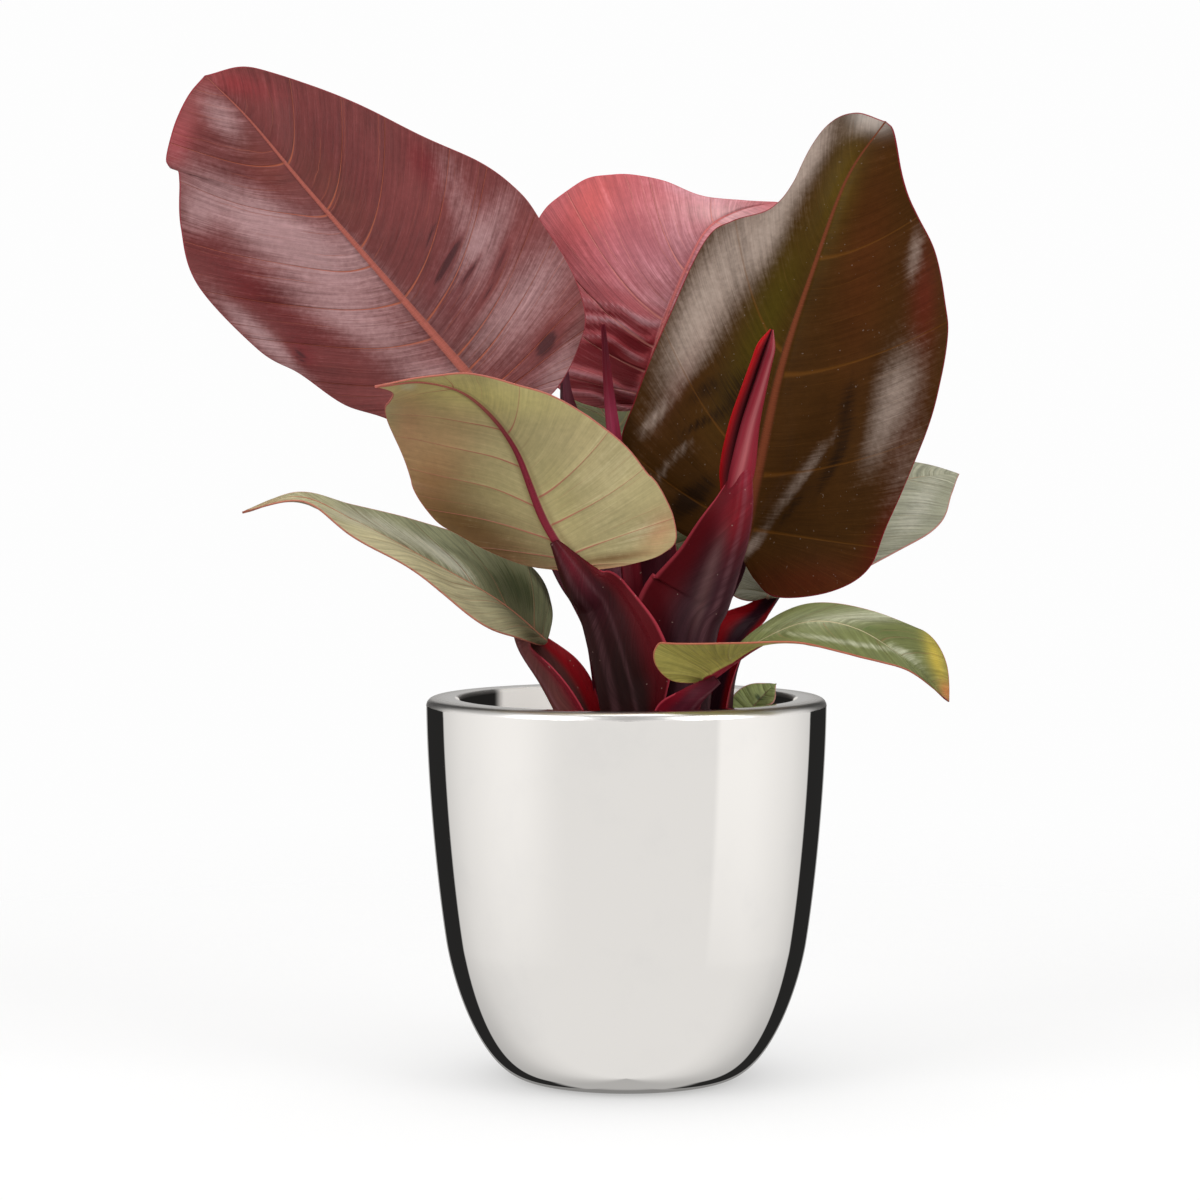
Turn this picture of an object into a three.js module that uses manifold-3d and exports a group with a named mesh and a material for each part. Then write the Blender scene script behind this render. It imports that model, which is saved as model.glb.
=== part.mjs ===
// A potted cherry red philodendron: a mirror-finished pot with a thick flat rim, its potting soil,
// a short crown stem, and the leaves that grow from it. Millimetres, +Z up. The origin is the
// middle of the pot's flat foot, on the surface that it stands on, and the plant is seen along +Y.

import * as THREE from "three";
import { mergeVertices } from "three/addons/utils/BufferGeometryUtils.js";
import Module from "manifold-3d";

const wasm = await Module();
wasm.setup();

// Pot: an outer bowl of two curves, a rounded thick rim and an inner wall
const POT_HEIGHT = 162;
const RIM_RADIUS = 85;
const MOUTH_RADIUS = 71;
const FOOT_RADIUS = 42.5;
const SHOULDER = { radius: 76.5, height: 57 };
const RIM_OUTER_ROUND = 3.5;
const RIM_INNER_ROUND = 2;
const FLOOR_THICKNESS = 14;
const INNER_STRAIGHT_END = 120;
const POT_SEGMENTS = 44;

// The handles of the pot's three wall curves, as radius and height
const LOWER_BOWL = [[59, 1], [72, 32]];
const UPPER_WALL = [[80.5, 82], [84.6, 125]];
const INNER_BOWL = [[69, 55], [52, FLOOR_THICKNESS]];

// Soil and crown
const GAP = 0.35;
const SLIVER = 0.02;
const SOIL_TOP = 146;
const SOIL_RELIEF = 1.6;
const SOIL_SEGMENTS = 28;
const HOLE_TOP = SOIL_TOP + 5;
const CROWN = { x: 12, y: 2, bottom: 112, top: 152, radius: 11, endRadius: 6.6, taper: 9, segments: 20 };

// Blades: true thickness, and the midrib's depth below the longest blade. The depth starts as a part
// of that, is whole after the run-in, and tapers to the tip. Then how finely each blade is divided,
// and JOIN, where a petiole meets its midrib: along it and below it.
const BLADE_THICKNESS = 0.8;
const MIDRIB_DEPTH = 2.4;
const MIDRIB_TAPER = 0.85;
const MIDRIB_START = 0.25;
const MIDRIB_RUN_IN = 8;
const LONGEST_BLADE = 200;
const BLADE_STEPS = 20;
const SMALL_BLADE_STEPS = 10;
const SMALL_BLADE = 20;
const BLADE_ACROSS = [0, 0.06, 0.36, 0.7, 1];
const VEIN_LEAVE = 2.2;
const VEIN_SWEEP = 1.5;
const JOIN = [[-6, 4.6], [6, 3.2]];
const SMALL_JOIN_SCALE = 0.5;

// Stalks: how finely each is divided, the thickness of a sheath wing, and the places on a section,
// as parts of its radius: where a wing starts and how high, and the groove between the wings.
// A wing of reach w rises by WING_SLOPE x w at its tip, and less at its middle.
const STALK_STEPS = 11;
const WING_THICKNESS = 1.3;
const WING_START = 0.86;
const WING_HEIGHT = { middle: 0.34, tip: 0.5 };
const WING_SLOPE = { middle: 0.12, tip: 0.42 };
const GROOVE = { side: 0.45, sideHeight: 0.42, middleHeight: 0.28 };
const STALK_ROUND_SIDES = 6;
const LEAST_WING = 0.5;
const LEAST_RADIUS = 0.4;

const COLOURS = {
  mirror: 0xdedcd8,
  soil: 0x3a2a20,
  maroon: 0x6b3a3e,
  dark_olive: 0x3a2c18,
  khaki: 0xa59b64,
  coral: 0xc85055,
  green: 0x6f7a48,
  grey_green: 0x969b82,
  stalk: 0x3c1923,
  crimson: 0x96142d,
};

// Each leaf has the path of its midrib, from the petiole to the tip, the direction that its upper
// face looks in at the base, the middle and the tip, and the outline of each half as it would lie
// pressed flat: how far along the midrib and how far out from it. Left is seen from the upper face
// with the tip up. fold lifts a half off the midrib, and curl bends it on over halfWidth, in degrees.
// sweep is how strongly the side veins of the left and the right half bend, where it isn't VEIN_SWEEP.
const LEAVES = {
  left_large: {
    rib: [[-54, 5, 283], [-95, 22, 330], [-137, 38, 378], [-163, 44, 409], [-182, 44, 428]],
    face: [[0, -0.97, 0.2], [0.05, -0.95, 0.3], [0.1, -0.95, 0.3]],
    halfWidth: 66,
    left: [[0, 0], [-8, 11], [-7, 23], [1, 32], [26, 38], [45, 49], [68, 55], [88, 62], [127, 64],
      [151, 54], [169, 42], [176, 39], [184, 40], [192, 28], [197.5, 12], [199, 0]],
    right: [[0, 0], [-8, 12], [-8, 26], [-1, 42], [9, 55], [30, 65], [57, 71], [76, 74], [99, 69],
      [132, 52], [160, 37], [180, 23], [191, 14], [199, 0]],
    foldLeft: [8, 8, 5], foldRight: [3, 0, 0], curlLeft: [-20, -20, -10], curlRight: [-15, -15, -10],
    colour: "maroon",
  },
  right_large: {
    rib: [[48, 0, 223], [56, 4, 259], [66, 12, 302], [80, 22, 344], [95, 30, 383], [112, 32, 408]],
    face: [[-0.1, -0.97, 0.2], [-0.1, -0.95, 0.27], [-0.1, -0.95, 0.3]],
    halfWidth: 66,
    left: [[0, 0], [-1, 8], [3, 26], [13, 46], [34, 60], [56, 59], [92, 55], [128, 51], [139, 41],
      [148, 27], [162, 22], [185, 23], [196, 14], [200, 0]],
    right: [[0, 0], [-10, 9], [-15, 20], [-8, 41], [5, 55], [26, 59], [67, 67], [98, 67], [120, 64],
      [133, 58], [153, 47], [167, 35], [183, 22], [198, 6], [200, 0]],
    foldLeft: [8, 8, 0], foldRight: [3, 3, 5], curlLeft: [-20, -20, -110], curlRight: [-20, -20, -30],
    colour: "dark_olive",
  },
  front_left: {
    rib: [[-21, -40, 217], [-34, -44, 238], [-46, -52, 269], [-63, -66, 289], [-81, -84, 295],
      [-100, -98, 293]],
    face: [[0.15, 0.85, 0.45], [0.3, 0.7, 0.65], [0.3, 0.5, 0.8]],
    sweep: [VEIN_SWEEP, 0.8],
    halfWidth: 46,
    left: [[0, 0], [-4, 9], [-9, 22], [-12, 35], [-8, 44], [14, 49], [42, 45], [61, 34], [75, 27],
      [88, 19], [104, 12], [117, 5], [130, 1.5], [140, 0]],
    right: [[0, 0], [4, 6], [10, 14], [19, 25], [29, 38], [38, 47], [57, 52], [84, 46], [104, 36],
      [120, 22], [128, 8], [140, 0]],
    foldLeft: [5, 5, 5], foldRight: [-5, -5, -5], curlLeft: [25, 20, 20], curlRight: [0, 0, 0],
    colour: "khaki",
  },
  back_centre: {
    rib: [[7, 46, 285], [15, 52, 317], [28, 58, 349], [37, 64, 364], [51, 74, 372], [68, 84, 376]],
    face: [[-0.1, -0.97, 0.2], [-0.1, -0.9, 0.35], [-0.1, -0.85, 0.5]],
    halfWidth: 60,
    left: [[0, 0], [-4, 9], [-4, 29], [5, 45], [25, 60], [45, 68], [66, 69], [79, 61], [84, 49],
      [90, 31], [96, 15], [109, 5], [127, 0]],
    right: [[0, 0], [-6, 12], [-6, 30], [10, 48], [40, 55], [70, 50], [95, 34], [112, 16], [127, 0]],
    foldLeft: [10, 10, 5], foldRight: [15, 15, 5], curlLeft: [-10, -10, -20], curlRight: [-20, -20, -20],
    colour: "coral",
  },
  lower_left: {
    rib: [[-34, -8, 186], [-53, -20, 203], [-82, -35, 221], [-112, -48, 238], [-134, -55, 248],
      [-157, -58, 242]],
    face: [[0.2, -0.45, 0.85], [0.2, -0.4, 0.9], [-0.1, -0.3, 0.95]],
    sweep: [0.9, VEIN_SWEEP],
    halfWidth: 38,
    left: [[0, 0], [4, 7], [19, 19], [40, 28], [62, 25], [85, 20], [105, 17], [122, 12], [138, 4],
      [152, 0]],
    right: [[0, 0], [-2, 10], [-2, 22], [4, 32], [14, 35], [30, 32], [63, 27], [82, 24], [101, 19],
      [120, 12], [138, 5], [152, 0]],
    foldLeft: [0, 2, 5], foldRight: [8, 6, -12], curlLeft: [-5, -5, -20], curlRight: [10, 5, -50],
    colour: "green",
  },
  front_right: {
    rib: [[31, -50, 172], [53, -56, 188], [74, -62, 197], [94, -66, 194], [114, -68, 181],
      [131, -62, 165]],
    face: [[-0.1, 0.5, 0.85], [0.1, -0.38, 0.92], [0.4, -0.8, 0.5]],
    halfWidth: 30,
    left: [[0, 0], [-5, 7], [-6, 16], [2, 24], [20, 27], [66, 25], [91, 26], [102, 25], [111, 17],
      [121, 0]],
    right: [[0, 0], [-5, 5], [-9, 13], [-8, 24], [-2, 31], [10, 32], [40, 29], [58, 24], [76, 14],
      [88, 8], [100, 3], [121, 0]],
    foldLeft: [45, 0, 5], foldRight: [10, 0, 5], curlLeft: [-10, -10, -20], curlRight: [10, -10, -20],
    colour: "green",
  },
  back_right: {
    rib: [[61, 25, 203], [89, 45, 231], [119, 68, 251], [150, 92, 255]],
    face: [[-0.3, -0.7, 0.6], [-0.2, -0.7, 0.6], [0.1, -0.5, 0.85]],
    sweep: [VEIN_SWEEP, 0.9],
    halfWidth: 34,
    left: [[0, 0], [-6, 6], [-6, 16], [4, 26], [25, 31], [55, 31], [85, 25], [106, 15], [117, 10],
      [127, 0]],
    right: [[0, 0], [4, 8], [14, 18], [32, 28], [59, 34], [77, 34], [94, 28], [110, 15], [121, 5],
      [127, 0]],
    foldLeft: [5, 5, 5], foldRight: [5, 5, 5], curlLeft: [-10, -10, -20], curlRight: [-10, -10, -20],
    colour: "grey_green",
  },
  back: {
    rib: [[22, 48, 218], [12, 75, 242], [1, 102, 266], [-11, 128, 284], [-22, 150, 296]],
    face: [[0.1, -0.66, 0.75], [0.1, -0.64, 0.77], [0.1, -0.5, 0.85]],
    sweep: [0.9, VEIN_SWEEP],
    halfWidth: 38,
    left: [[0, 0], [2, 10], [10, 22], [35, 34], [70, 36], [100, 24], [122, 9], [136, 0]],
    right: [[0, 0], [-6, 8], [-6, 22], [8, 33], [40, 37], [75, 34], [105, 20], [124, 7], [136, 0]],
    foldLeft: [9, 7, 5], foldRight: [9, 7, 5], curlLeft: [-10, -10, -20], curlRight: [-10, -10, -20],
    colour: "green",
  },
  small: {
    rib: [[51, 13, 152], [58, 18, 160], [65, 23, 166]],
    face: [[0, -0.5, 0.85], [0.1, -0.6, 0.8], [0.3, -0.6, 0.7]],
    halfWidth: 10,
    left: [[0, 0], [-3, 4], [0, 8], [6, 10], [13, 8], [19, 3], [21, 0]],
    right: [[0, 0], [-3, 4], [0, 8], [6, 10], [8, 6], [11, 8], [16, 5], [21, 0]],
    foldLeft: [15, 10, 5], foldRight: [15, 10, 5], curlLeft: [10, 10, 10], curlRight: [30, 30, 10],
    colour: "green",
  },
};

// Each stalk has the path of its middle, the direction that its upper, grooved side looks in, its
// radius, and how far its sheath wings stand out past it, all from the crown to the far end.
const STALKS = {
  petiole_front_left: {
    leaf: "front_left",
    path: [[0, -24, 138], [-3, -29, 161], [-9, -33, 187], [-14, -37, 203]],
    face: [[0.1, 1, 0.1], [0.1, 1, 0.2], [0.15, 0.85, 0.45]],
    radius: [9.5, 9, 8, 6.8, 5, 2.4],
    left: [5, 9, 16, 15, 9, 3, 0],
    right: [0, 0],
  },
  petiole_front_right: {
    leaf: "front_right",
    path: [[22, -28, 138], [23, -37, 155]],
    face: [[-0.1, 1, 0.1], [-0.1, 0.8, 0.6], [-0.1, 0.5, 0.85]],
    radius: [6, 5.5, 4.6, 3.4, 2],
    left: [2, 3, 2, 0],
    right: [6, 7, 4, 0],
  },
  petiole_new: {
    path: [[24, -12, 138], [31, -17, 188], [37, -19, 203], [43, -22, 222], [48, -25, 241], [51, -27, 264]],
    face: [[-0.2, 1, 0.1], [-0.2, 1, 0.1], [-0.2, 1, 0.1]],
    radius: [9, 8.5, 7, 6, 5, 3.6],
    left: [0, 0],
    right: [8, 14, 21, 21, 14, 8, 0],
  },
  petiole_lower_left: {
    leaf: "lower_left",
    join: [[4, 6.5], [15, 3.2]],
    path: [[-14, -12, 138], [-22, -12, 157], [-31, -10, 172]],
    face: [[0.7, -0.1, 0.5], [0.7, -0.2, 0.6], [0.3, -0.45, 0.8]],
    radius: [8, 8, 7.4, 5.6, 2.4],
    left: [3, 5, 6, 3, 0],
    right: [4, 9, 11, 6, 0],
  },
  petiole_back_right: {
    leaf: "back_right",
    path: [[36, 6, 138], [41, 10, 167], [48, 15, 184]],
    face: [[-0.7, -0.6, 0.2], [-0.6, -0.6, 0.4], [-0.3, -0.7, 0.6]],
    radius: [7.5, 7, 5.4, 4.2, 3.4, 2],
    left: [8, 9, 10, 10, 10, 10, 4, 0],
    right: [5, 6, 6, 7, 7, 7, 3, 0],
  },
  petiole_right_large: {
    leaf: "right_large",
    path: [[26, 14, 138], [31, 14, 170], [37, 12, 195]],
    face: [[-0.1, -1, 0.2], [-0.1, -1, 0.2], [-0.1, -0.97, 0.2]],
    radius: [7, 6, 5, 4.4, 4, 2.4],
    left: [4, 3, 1, 0, 0],
    right: [4, 3, 1, 0, 0],
  },
  petiole_left_large: {
    leaf: "left_large",
    path: [[-4, 6, 138], [-7, 9, 165], [-12, 9, 188], [-19, 8, 203], [-27, 7, 216], [-42, 7, 250]],
    face: [[0.3, -0.9, 0.1], [0.1, -0.95, 0.2], [0, -0.97, 0.2]],
    radius: [7, 6, 5, 4.4, 4, 2.4],
    left: [4, 3, 1, 0, 0, 0],
    right: [4, 3, 1, 0, 0, 0],
  },
  petiole_back_centre: {
    leaf: "back_centre",
    path: [[6, 22, 138], [10, 24, 175], [13, 31, 212], [11, 41, 250]],
    face: [[-0.1, -1, 0.2], [-0.1, -0.97, 0.2], [-0.1, -0.97, 0.2]],
    radius: [7, 6.6, 5.8, 4.8, 3.8, 2.4],
    left: [4, 3, 1, 0, 0],
    right: [4, 3, 1, 0, 0],
  },
  petiole_back: {
    leaf: "back",
    path: [[20, 24, 138], [21, 32, 170], [22, 42, 198]],
    face: [[0, -0.9, 0.4], [0, -0.8, 0.6], [0.1, -0.6, 0.8]],
    radius: [6, 5.2, 4.2, 3.4, 2.2],
    left: [3, 2, 0, 0],
    right: [3, 2, 0, 0],
  },
  petiole_small: {
    leaf: "small",
    path: [[28, 4, 140], [42, 9, 147]],
    face: [[0, 0, 1], [0, -0.3, 1], [0, -0.5, 0.85]],
    radius: [2.4, 2.2, 1.8, 1.2],
    left: [0, 0],
    right: [0, 0],
  },
  spike: {
    path: [[5, -5, 138], [4, -3, 190], [-1, 0, 240], [-7, 3, 285], [-10, 5, 320]],
    face: [[0.2, -0.9, 0.1], [0.2, -0.9, 0.1], [0.2, -0.9, 0.1]],
    radius: [4.6, 4.4, 4.0, 2.8, 0.5],
    left: [0, 0],
    right: [0, 0],
  },
  bract: {
    path: [[4, 9, 138], [-4, 13, 200], [-15, 16, 250], [-23, 19, 285], [-25, 20, 301]],
    face: [[0.6, -0.8, 0.1], [0.6, -0.8, 0.1], [0.6, -0.8, 0.1]],
    radius: [4.4, 4.6, 5.2, 5, 0.6],
    left: [0, 0],
    right: [0, 0],
  },
};

// The new leaf, still rolled up: its middle line, half its width, and its seam between the two rolls
const ROLL = {
  path: [[44.5, -20.5, 249], [46, -21, 257], [49, -23, 277], [53, -26, 293], [57.5, -29, 309],
    [60, -30, 317]],
  face: [[-0.3, -0.95, 0.1], [-0.3, -0.95, 0.1], [-0.3, -0.95, 0.1]],
  radius: [7.6, 7.8, 7.3, 5.9, 3.4, 0.6],
  depth: 0.72,
  seamAngle: 100,
  seamDepth: 0.4,
  sides: 14,
};

// The point of a smooth curve through all the points, at u from 0 to 1
function alongCurve(points, u) {
  const last = points.length - 1;
  const place = Math.min(Math.max(u, 0), 1) * last;
  const i = Math.min(Math.floor(place), last - 1);
  const t = place - i;
  const b = points[i];
  const c = points[i + 1];
  return b.map((_, k) => {
    const before = i > 0 ? points[i - 1][k] : 2 * b[k] - c[k];
    const after = i + 2 <= last ? points[i + 2][k] : 2 * c[k] - b[k];
    const slopeIn = c[k] - before;
    const bend = 2 * before - 5 * b[k] + 4 * c[k] - after;
    const twist = 3 * b[k] - before - 3 * c[k] + after;
    return 0.5 * (2 * b[k] + slopeIn * t + bend * t * t + twist * t * t * t);
  });
}

// The value at u of the parabola through three values at 0, 1/2 and 1
function keyed(values, u) {
  return values[0] * (1 - u) * (1 - 2 * u) + values[1] * 4 * u * (1 - u) + values[2] * u * (2 * u - 1);
}

// A smooth curve through the points, as a function of the part of its whole length from 0 to 1
function evenCurve(points, samples = 200) {
  const lengths = [0];
  for (let i = 1; i <= samples; i += 1) {
    const before = alongCurve(points, (i - 1) / samples);
    const step = alongCurve(points, i / samples).map((value, k) => value - before[k]);
    lengths.push(lengths[i - 1] + Math.hypot(...step));
  }
  return (part) => {
    const wanted = part * lengths[samples];
    let i = 1;
    while (i < samples && lengths[i] < wanted) i += 1;
    const mix = (wanted - lengths[i - 1]) / (lengths[i] - lengths[i - 1]);
    return alongCurve(points, (i - 1 + mix) / samples);
  };
}

// A midrib or stalk: its length, and its place, direction, facing and left side at any distance
function makeAxis(points, face, samples = 160) {
  const places = [];
  const lengths = [0];
  for (let i = 0; i <= samples; i += 1) {
    places.push(new THREE.Vector3(...alongCurve(points, i / samples)));
    if (i > 0) lengths.push(lengths[i - 1] + places[i].distanceTo(places[i - 1]));
  }
  const length = lengths[samples];
  const tangents = places.map((_, i) => {
    const from = places[Math.max(i - 1, 0)];
    const to = places[Math.min(i + 1, samples)];
    return to.clone().sub(from).normalize();
  });
  function frame(s) {
    const inside = Math.min(Math.max(s, 0), length);
    let i = 1;
    while (i < samples && lengths[i] < inside) i += 1;
    const mix = (inside - lengths[i - 1]) / (lengths[i] - lengths[i - 1]);
    const along = tangents[i - 1].clone().lerp(tangents[i], mix).normalize();
    const at = places[i - 1].clone().lerp(places[i], mix).addScaledVector(along, s - inside);
    const u = inside / length;
    const up = new THREE.Vector3(...[0, 1, 2].map((k) => keyed(face.map((f) => f[k]), u)));
    up.addScaledVector(along, -up.dot(along)).normalize();
    return { at, along, up, left: up.clone().cross(along) };
  }
  return { length, frame };
}

// How far out and up a place of the flat leaf lies from its midrib: s along it and w out from it
function bladeRise(leaf, length, s, w, side) {
  const u = Math.min(Math.max(s / length, 0), 1);
  const fold = THREE.MathUtils.degToRad(keyed(side > 0 ? leaf.foldLeft : leaf.foldRight, u));
  const curl = THREE.MathUtils.degToRad(keyed(side > 0 ? leaf.curlLeft : leaf.curlRight, u));
  const bend = Math.abs(curl) < 1e-4 ? 1e-6 : curl / leaf.halfWidth;
  const out = (Math.sin(fold + bend * w) - Math.sin(fold)) / bend;
  const rise = (Math.cos(fold) - Math.cos(fold + bend * w)) / bend;
  return { out: out * side, rise };
}

// A point of the vein that runs from the midrib at sRib to the margin, the part v of the way out.
// The vein leaves at a wide angle and then sweeps on towards the tip.
function bladePoint(leaf, axis, sRib, sMargin, wMargin, v, side) {
  const root = axis.frame(sRib);
  const edge = axis.frame(sMargin);
  const whole = bladeRise(leaf, axis.length, sMargin, wMargin, side);
  const margin = edge.at.clone().addScaledVector(edge.left, whole.out).addScaledVector(edge.up, whole.rise);
  const part = bladeRise(leaf, axis.length, sMargin, wMargin * v, side);
  const middle = axis.frame((sRib + sMargin) / 2);
  const sweep = leaf.sweep ? leaf.sweep[side > 0 ? 0 : 1] : VEIN_SWEEP;
  return root.at.clone().lerp(margin, v)
    .addScaledVector(middle.left, part.out - whole.out * v)
    .addScaledVector(middle.up, part.rise - whole.rise * v)
    .addScaledVector(middle.along, (sMargin - sRib) * (v ** sweep - v));
}

// How far the midrib stands out below the blade: deepest a little past the base, and less on a
// short leaf
function midribDepth(s, length) {
  const start = Math.min(1, MIDRIB_START + s / MIDRIB_RUN_IN);
  return MIDRIB_DEPTH * Math.sqrt(length / LONGEST_BLADE) * start * (1 - MIDRIB_TAPER * (s / length));
}

// The blade as a sheet with no thickness. Lines run from the midrib to the margin as its veins do.
function bladeSheet(leaf) {
  const axis = makeAxis(leaf.rib, leaf.face);
  const steps = leaf.halfWidth < SMALL_BLADE ? SMALL_BLADE_STEPS : BLADE_STEPS;
  const points = [];
  const ribDepth = [];
  const triangles = [];
  const add = (point, depth) => {
    points.push(point);
    ribDepth.push(depth);
    return points.length - 1;
  };
  const rib = [];
  for (let i = 0; i <= steps; i += 1) {
    const s = (i / steps) ** VEIN_LEAVE * axis.length;
    rib.push(add(axis.frame(s).at, i === steps ? 0 : midribDepth(s, axis.length)));
  }
  for (const side of [1, -1]) {
    const outline = evenCurve(side > 0 ? leaf.left : leaf.right);
    const rows = [];
    for (let i = 0; i <= steps; i += 1) {
      const t = i / steps;
      const [sMargin, wMargin] = outline(t);
      const sRib = t ** VEIN_LEAVE * axis.length;
      rows.push(BLADE_ACROSS.map((v) => {
        if (v === 0 || i === 0 || i === steps) return rib[i];
        return add(bladePoint(leaf, axis, sRib, sMargin, Math.max(wMargin, 0), v, side), 0);
      }));
    }
    for (let i = 0; i < steps; i += 1) {
      for (let j = 0; j + 1 < BLADE_ACROSS.length; j += 1) {
        const [a, b, c, d] = [rows[i][j], rows[i][j + 1], rows[i + 1][j + 1], rows[i + 1][j]];
        for (const corner of [[a, b, c], [a, c, d]]) {
          if (new Set(corner).size === 3) triangles.push(side > 0 ? corner.reverse() : corner);
        }
      }
    }
  }
  return { points, ribDepth, triangles };
}

// A closed solid of a sheet: the same triangles above and below it, and a wall along its edge.
// grow makes it that much larger all round.
function thicken(sheet, grow = 0) {
  const { points, ribDepth, triangles } = sheet;
  const normals = points.map(() => new THREE.Vector3());
  for (const [a, b, c] of triangles) {
    const one = points[b].clone().sub(points[a]);
    const normal = one.cross(points[c].clone().sub(points[a]));
    for (const i of [a, b, c]) normals[i].add(normal);
  }
  normals.forEach((normal) => normal.normalize());
  const edges = new Map();
  for (const [a, b, c] of triangles) {
    for (const [from, to] of [[a, b], [b, c], [c, a]]) {
      if (edges.has(`${to},${from}`)) edges.delete(`${to},${from}`);
      else edges.set(`${from},${to}`, [from, to]);
    }
  }
  const outward = points.map(() => new THREE.Vector3());
  for (const [from, to] of edges.values()) {
    const along = points[to].clone().sub(points[from]).normalize();
    for (const i of [from, to]) outward[i].add(along.clone().cross(normals[i]));
  }
  const half = BLADE_THICKNESS / 2 + grow;
  const count = points.length;
  const vertices = [];
  for (const sign of [1, -1]) {
    points.forEach((point, i) => {
      const depth = sign > 0 ? half : half + ribDepth[i];
      const at = point.clone().addScaledVector(normals[i], sign * depth);
      if (grow > 0 && outward[i].lengthSq() > 0) at.addScaledVector(outward[i].normalize(), grow);
      vertices.push(at);
    });
  }
  const faces = [];
  for (const [a, b, c] of triangles) {
    faces.push([a, b, c], [a + count, c + count, b + count]);
  }
  for (const [from, to] of edges.values()) {
    faces.push([from, from + count, to], [to, from + count, to + count]);
  }
  return solidOf(vertices, faces);
}

// The section of a stalk: round below, grooved above, with a thin sheath wing on each side that
// turns up towards the stalks that it clasps. Points are left and up from its middle.
function stalkSection(radius, leftWing, rightWing) {
  const half = WING_THICKNESS / 2;
  const wing = (reach, side) => {
    const tip = side * (radius * WING_START + reach);
    const tipHeight = radius * WING_HEIGHT.tip + reach * WING_SLOPE.tip;
    const middle = side * (radius * WING_START + reach / 2);
    const middleHeight = radius * WING_HEIGHT.middle + reach * WING_SLOPE.middle;
    return [[middle, middleHeight - half], [tip, tipHeight - half / 2], [tip, tipHeight + half / 2],
      [middle, middleHeight + half]];
  };
  const grooveSide = [radius * GROOVE.side, radius * GROOVE.sideHeight];
  const points = wing(Math.max(leftWing, LEAST_WING), 1);
  points.push(grooveSide, [0, radius * GROOVE.middleHeight], [-grooveSide[0], grooveSide[1]]);
  points.push(...wing(Math.max(rightWing, LEAST_WING), -1).reverse());
  for (let i = 1; i < STALK_ROUND_SIDES; i += 1) {
    const angle = Math.PI * (1 + i / STALK_ROUND_SIDES);
    points.push([radius * Math.cos(angle), radius * Math.sin(angle)]);
  }
  return points.map(([x, y]) => new THREE.Vector2(x, y));
}

// A section whose sides are all moved outward by grow
function grownSection(points, grow) {
  const sideNormal = (from, to) => new THREE.Vector2(to.y - from.y, from.x - to.x).normalize();
  return points.map((point, i) => {
    const before = points[(i + points.length - 1) % points.length];
    const after = points[(i + 1) % points.length];
    const corner = sideNormal(before, point).add(sideNormal(point, after));
    return point.clone().addScaledVector(corner, (2 * grow) / Math.max(corner.lengthSq(), 0.6));
  });
}

// The path of a stalk. A petiole runs on below its blade's base and ends against the midrib, at
// the places of its join: how far along the midrib, and how far below it.
function stalkPath(stalk) {
  if (!stalk.leaf) return stalk.path;
  const leaf = LEAVES[stalk.leaf];
  const axis = makeAxis(leaf.rib, leaf.face);
  const scale = leaf.halfWidth < SMALL_BLADE ? SMALL_JOIN_SCALE : 1;
  const under = (s, depth) => {
    const { at, up } = axis.frame(s * scale);
    return at.clone().addScaledVector(up, -depth * scale).toArray();
  };
  return [...stalk.path, ...(stalk.join ?? JOIN).map(([s, depth]) => under(s, depth))];
}

// A closed solid through the sections of a stalk
function stalkSolid(stalk, grow = 0) {
  const axis = makeAxis(stalkPath(stalk), stalk.face);
  const sections = [];
  for (let i = 0; i <= STALK_STEPS; i += 1) {
    const u = i / STALK_STEPS;
    const overrun = grow * (i === 0 ? -1 : i === STALK_STEPS ? 1 : 0);
    const { at, up, left } = axis.frame(u * axis.length + overrun);
    const [radius, leftWing, rightWing] = [stalk.radius, stalk.left, stalk.right].map(
      (values) => alongCurve(values.map((value) => [value]), u)[0],
    );
    const outline = grownSection(stalkSection(Math.max(radius, LEAST_RADIUS), leftWing, rightWing), grow);
    sections.push({ outline, at, left, up });
  }
  return loft(sections);
}

// The rolled leaf: a slim cone with a deep seam where one rolled half meets the other
function rollSolid() {
  const axis = makeAxis(ROLL.path, ROLL.face);
  const sections = [];
  for (let i = 0; i <= STALK_STEPS; i += 1) {
    const u = i / STALK_STEPS;
    const { at, up, left } = axis.frame(u * axis.length);
    const [radius] = alongCurve(ROLL.radius.map((value) => [value]), u);
    const outline = [];
    for (let k = 0; k < ROLL.sides; k += 1) {
      const angle = THREE.MathUtils.degToRad(ROLL.seamAngle + (360 * k) / ROLL.sides);
      const reach = radius * (k === 0 ? ROLL.seamDepth : 1);
      outline.push(new THREE.Vector2(reach * Math.cos(angle), reach * ROLL.depth * Math.sin(angle)));
    }
    sections.push({ outline, at, left, up });
  }
  return loft(sections);
}

// A closed solid through sections that all have the same number of points. Each section is a flat
// outline, counterclockwise, and where it stands: its middle and the directions of its two axes.
function loft(sections) {
  const ring = sections[0].outline.length;
  const vertices = sections.flatMap(({ outline, at, left, up }) => outline.map(
    ({ x, y }) => at.clone().addScaledVector(left, x).addScaledVector(up, y),
  ));
  const faces = [];
  for (let i = 0; i + 1 < sections.length; i += 1) {
    for (let j = 0; j < ring; j += 1) {
      const a = i * ring + j;
      const b = i * ring + ((j + 1) % ring);
      faces.push([a, b, b + ring], [a, b + ring, a + ring]);
    }
  }
  for (const [a, b, c] of endTriangles(sections[0].outline)) faces.push([a, c, b]);
  const top = (sections.length - 1) * ring;
  for (const triangle of endTriangles(sections.at(-1).outline)) faces.push(triangle.map((i) => top + i));
  return solidOf(vertices, faces);
}

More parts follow.
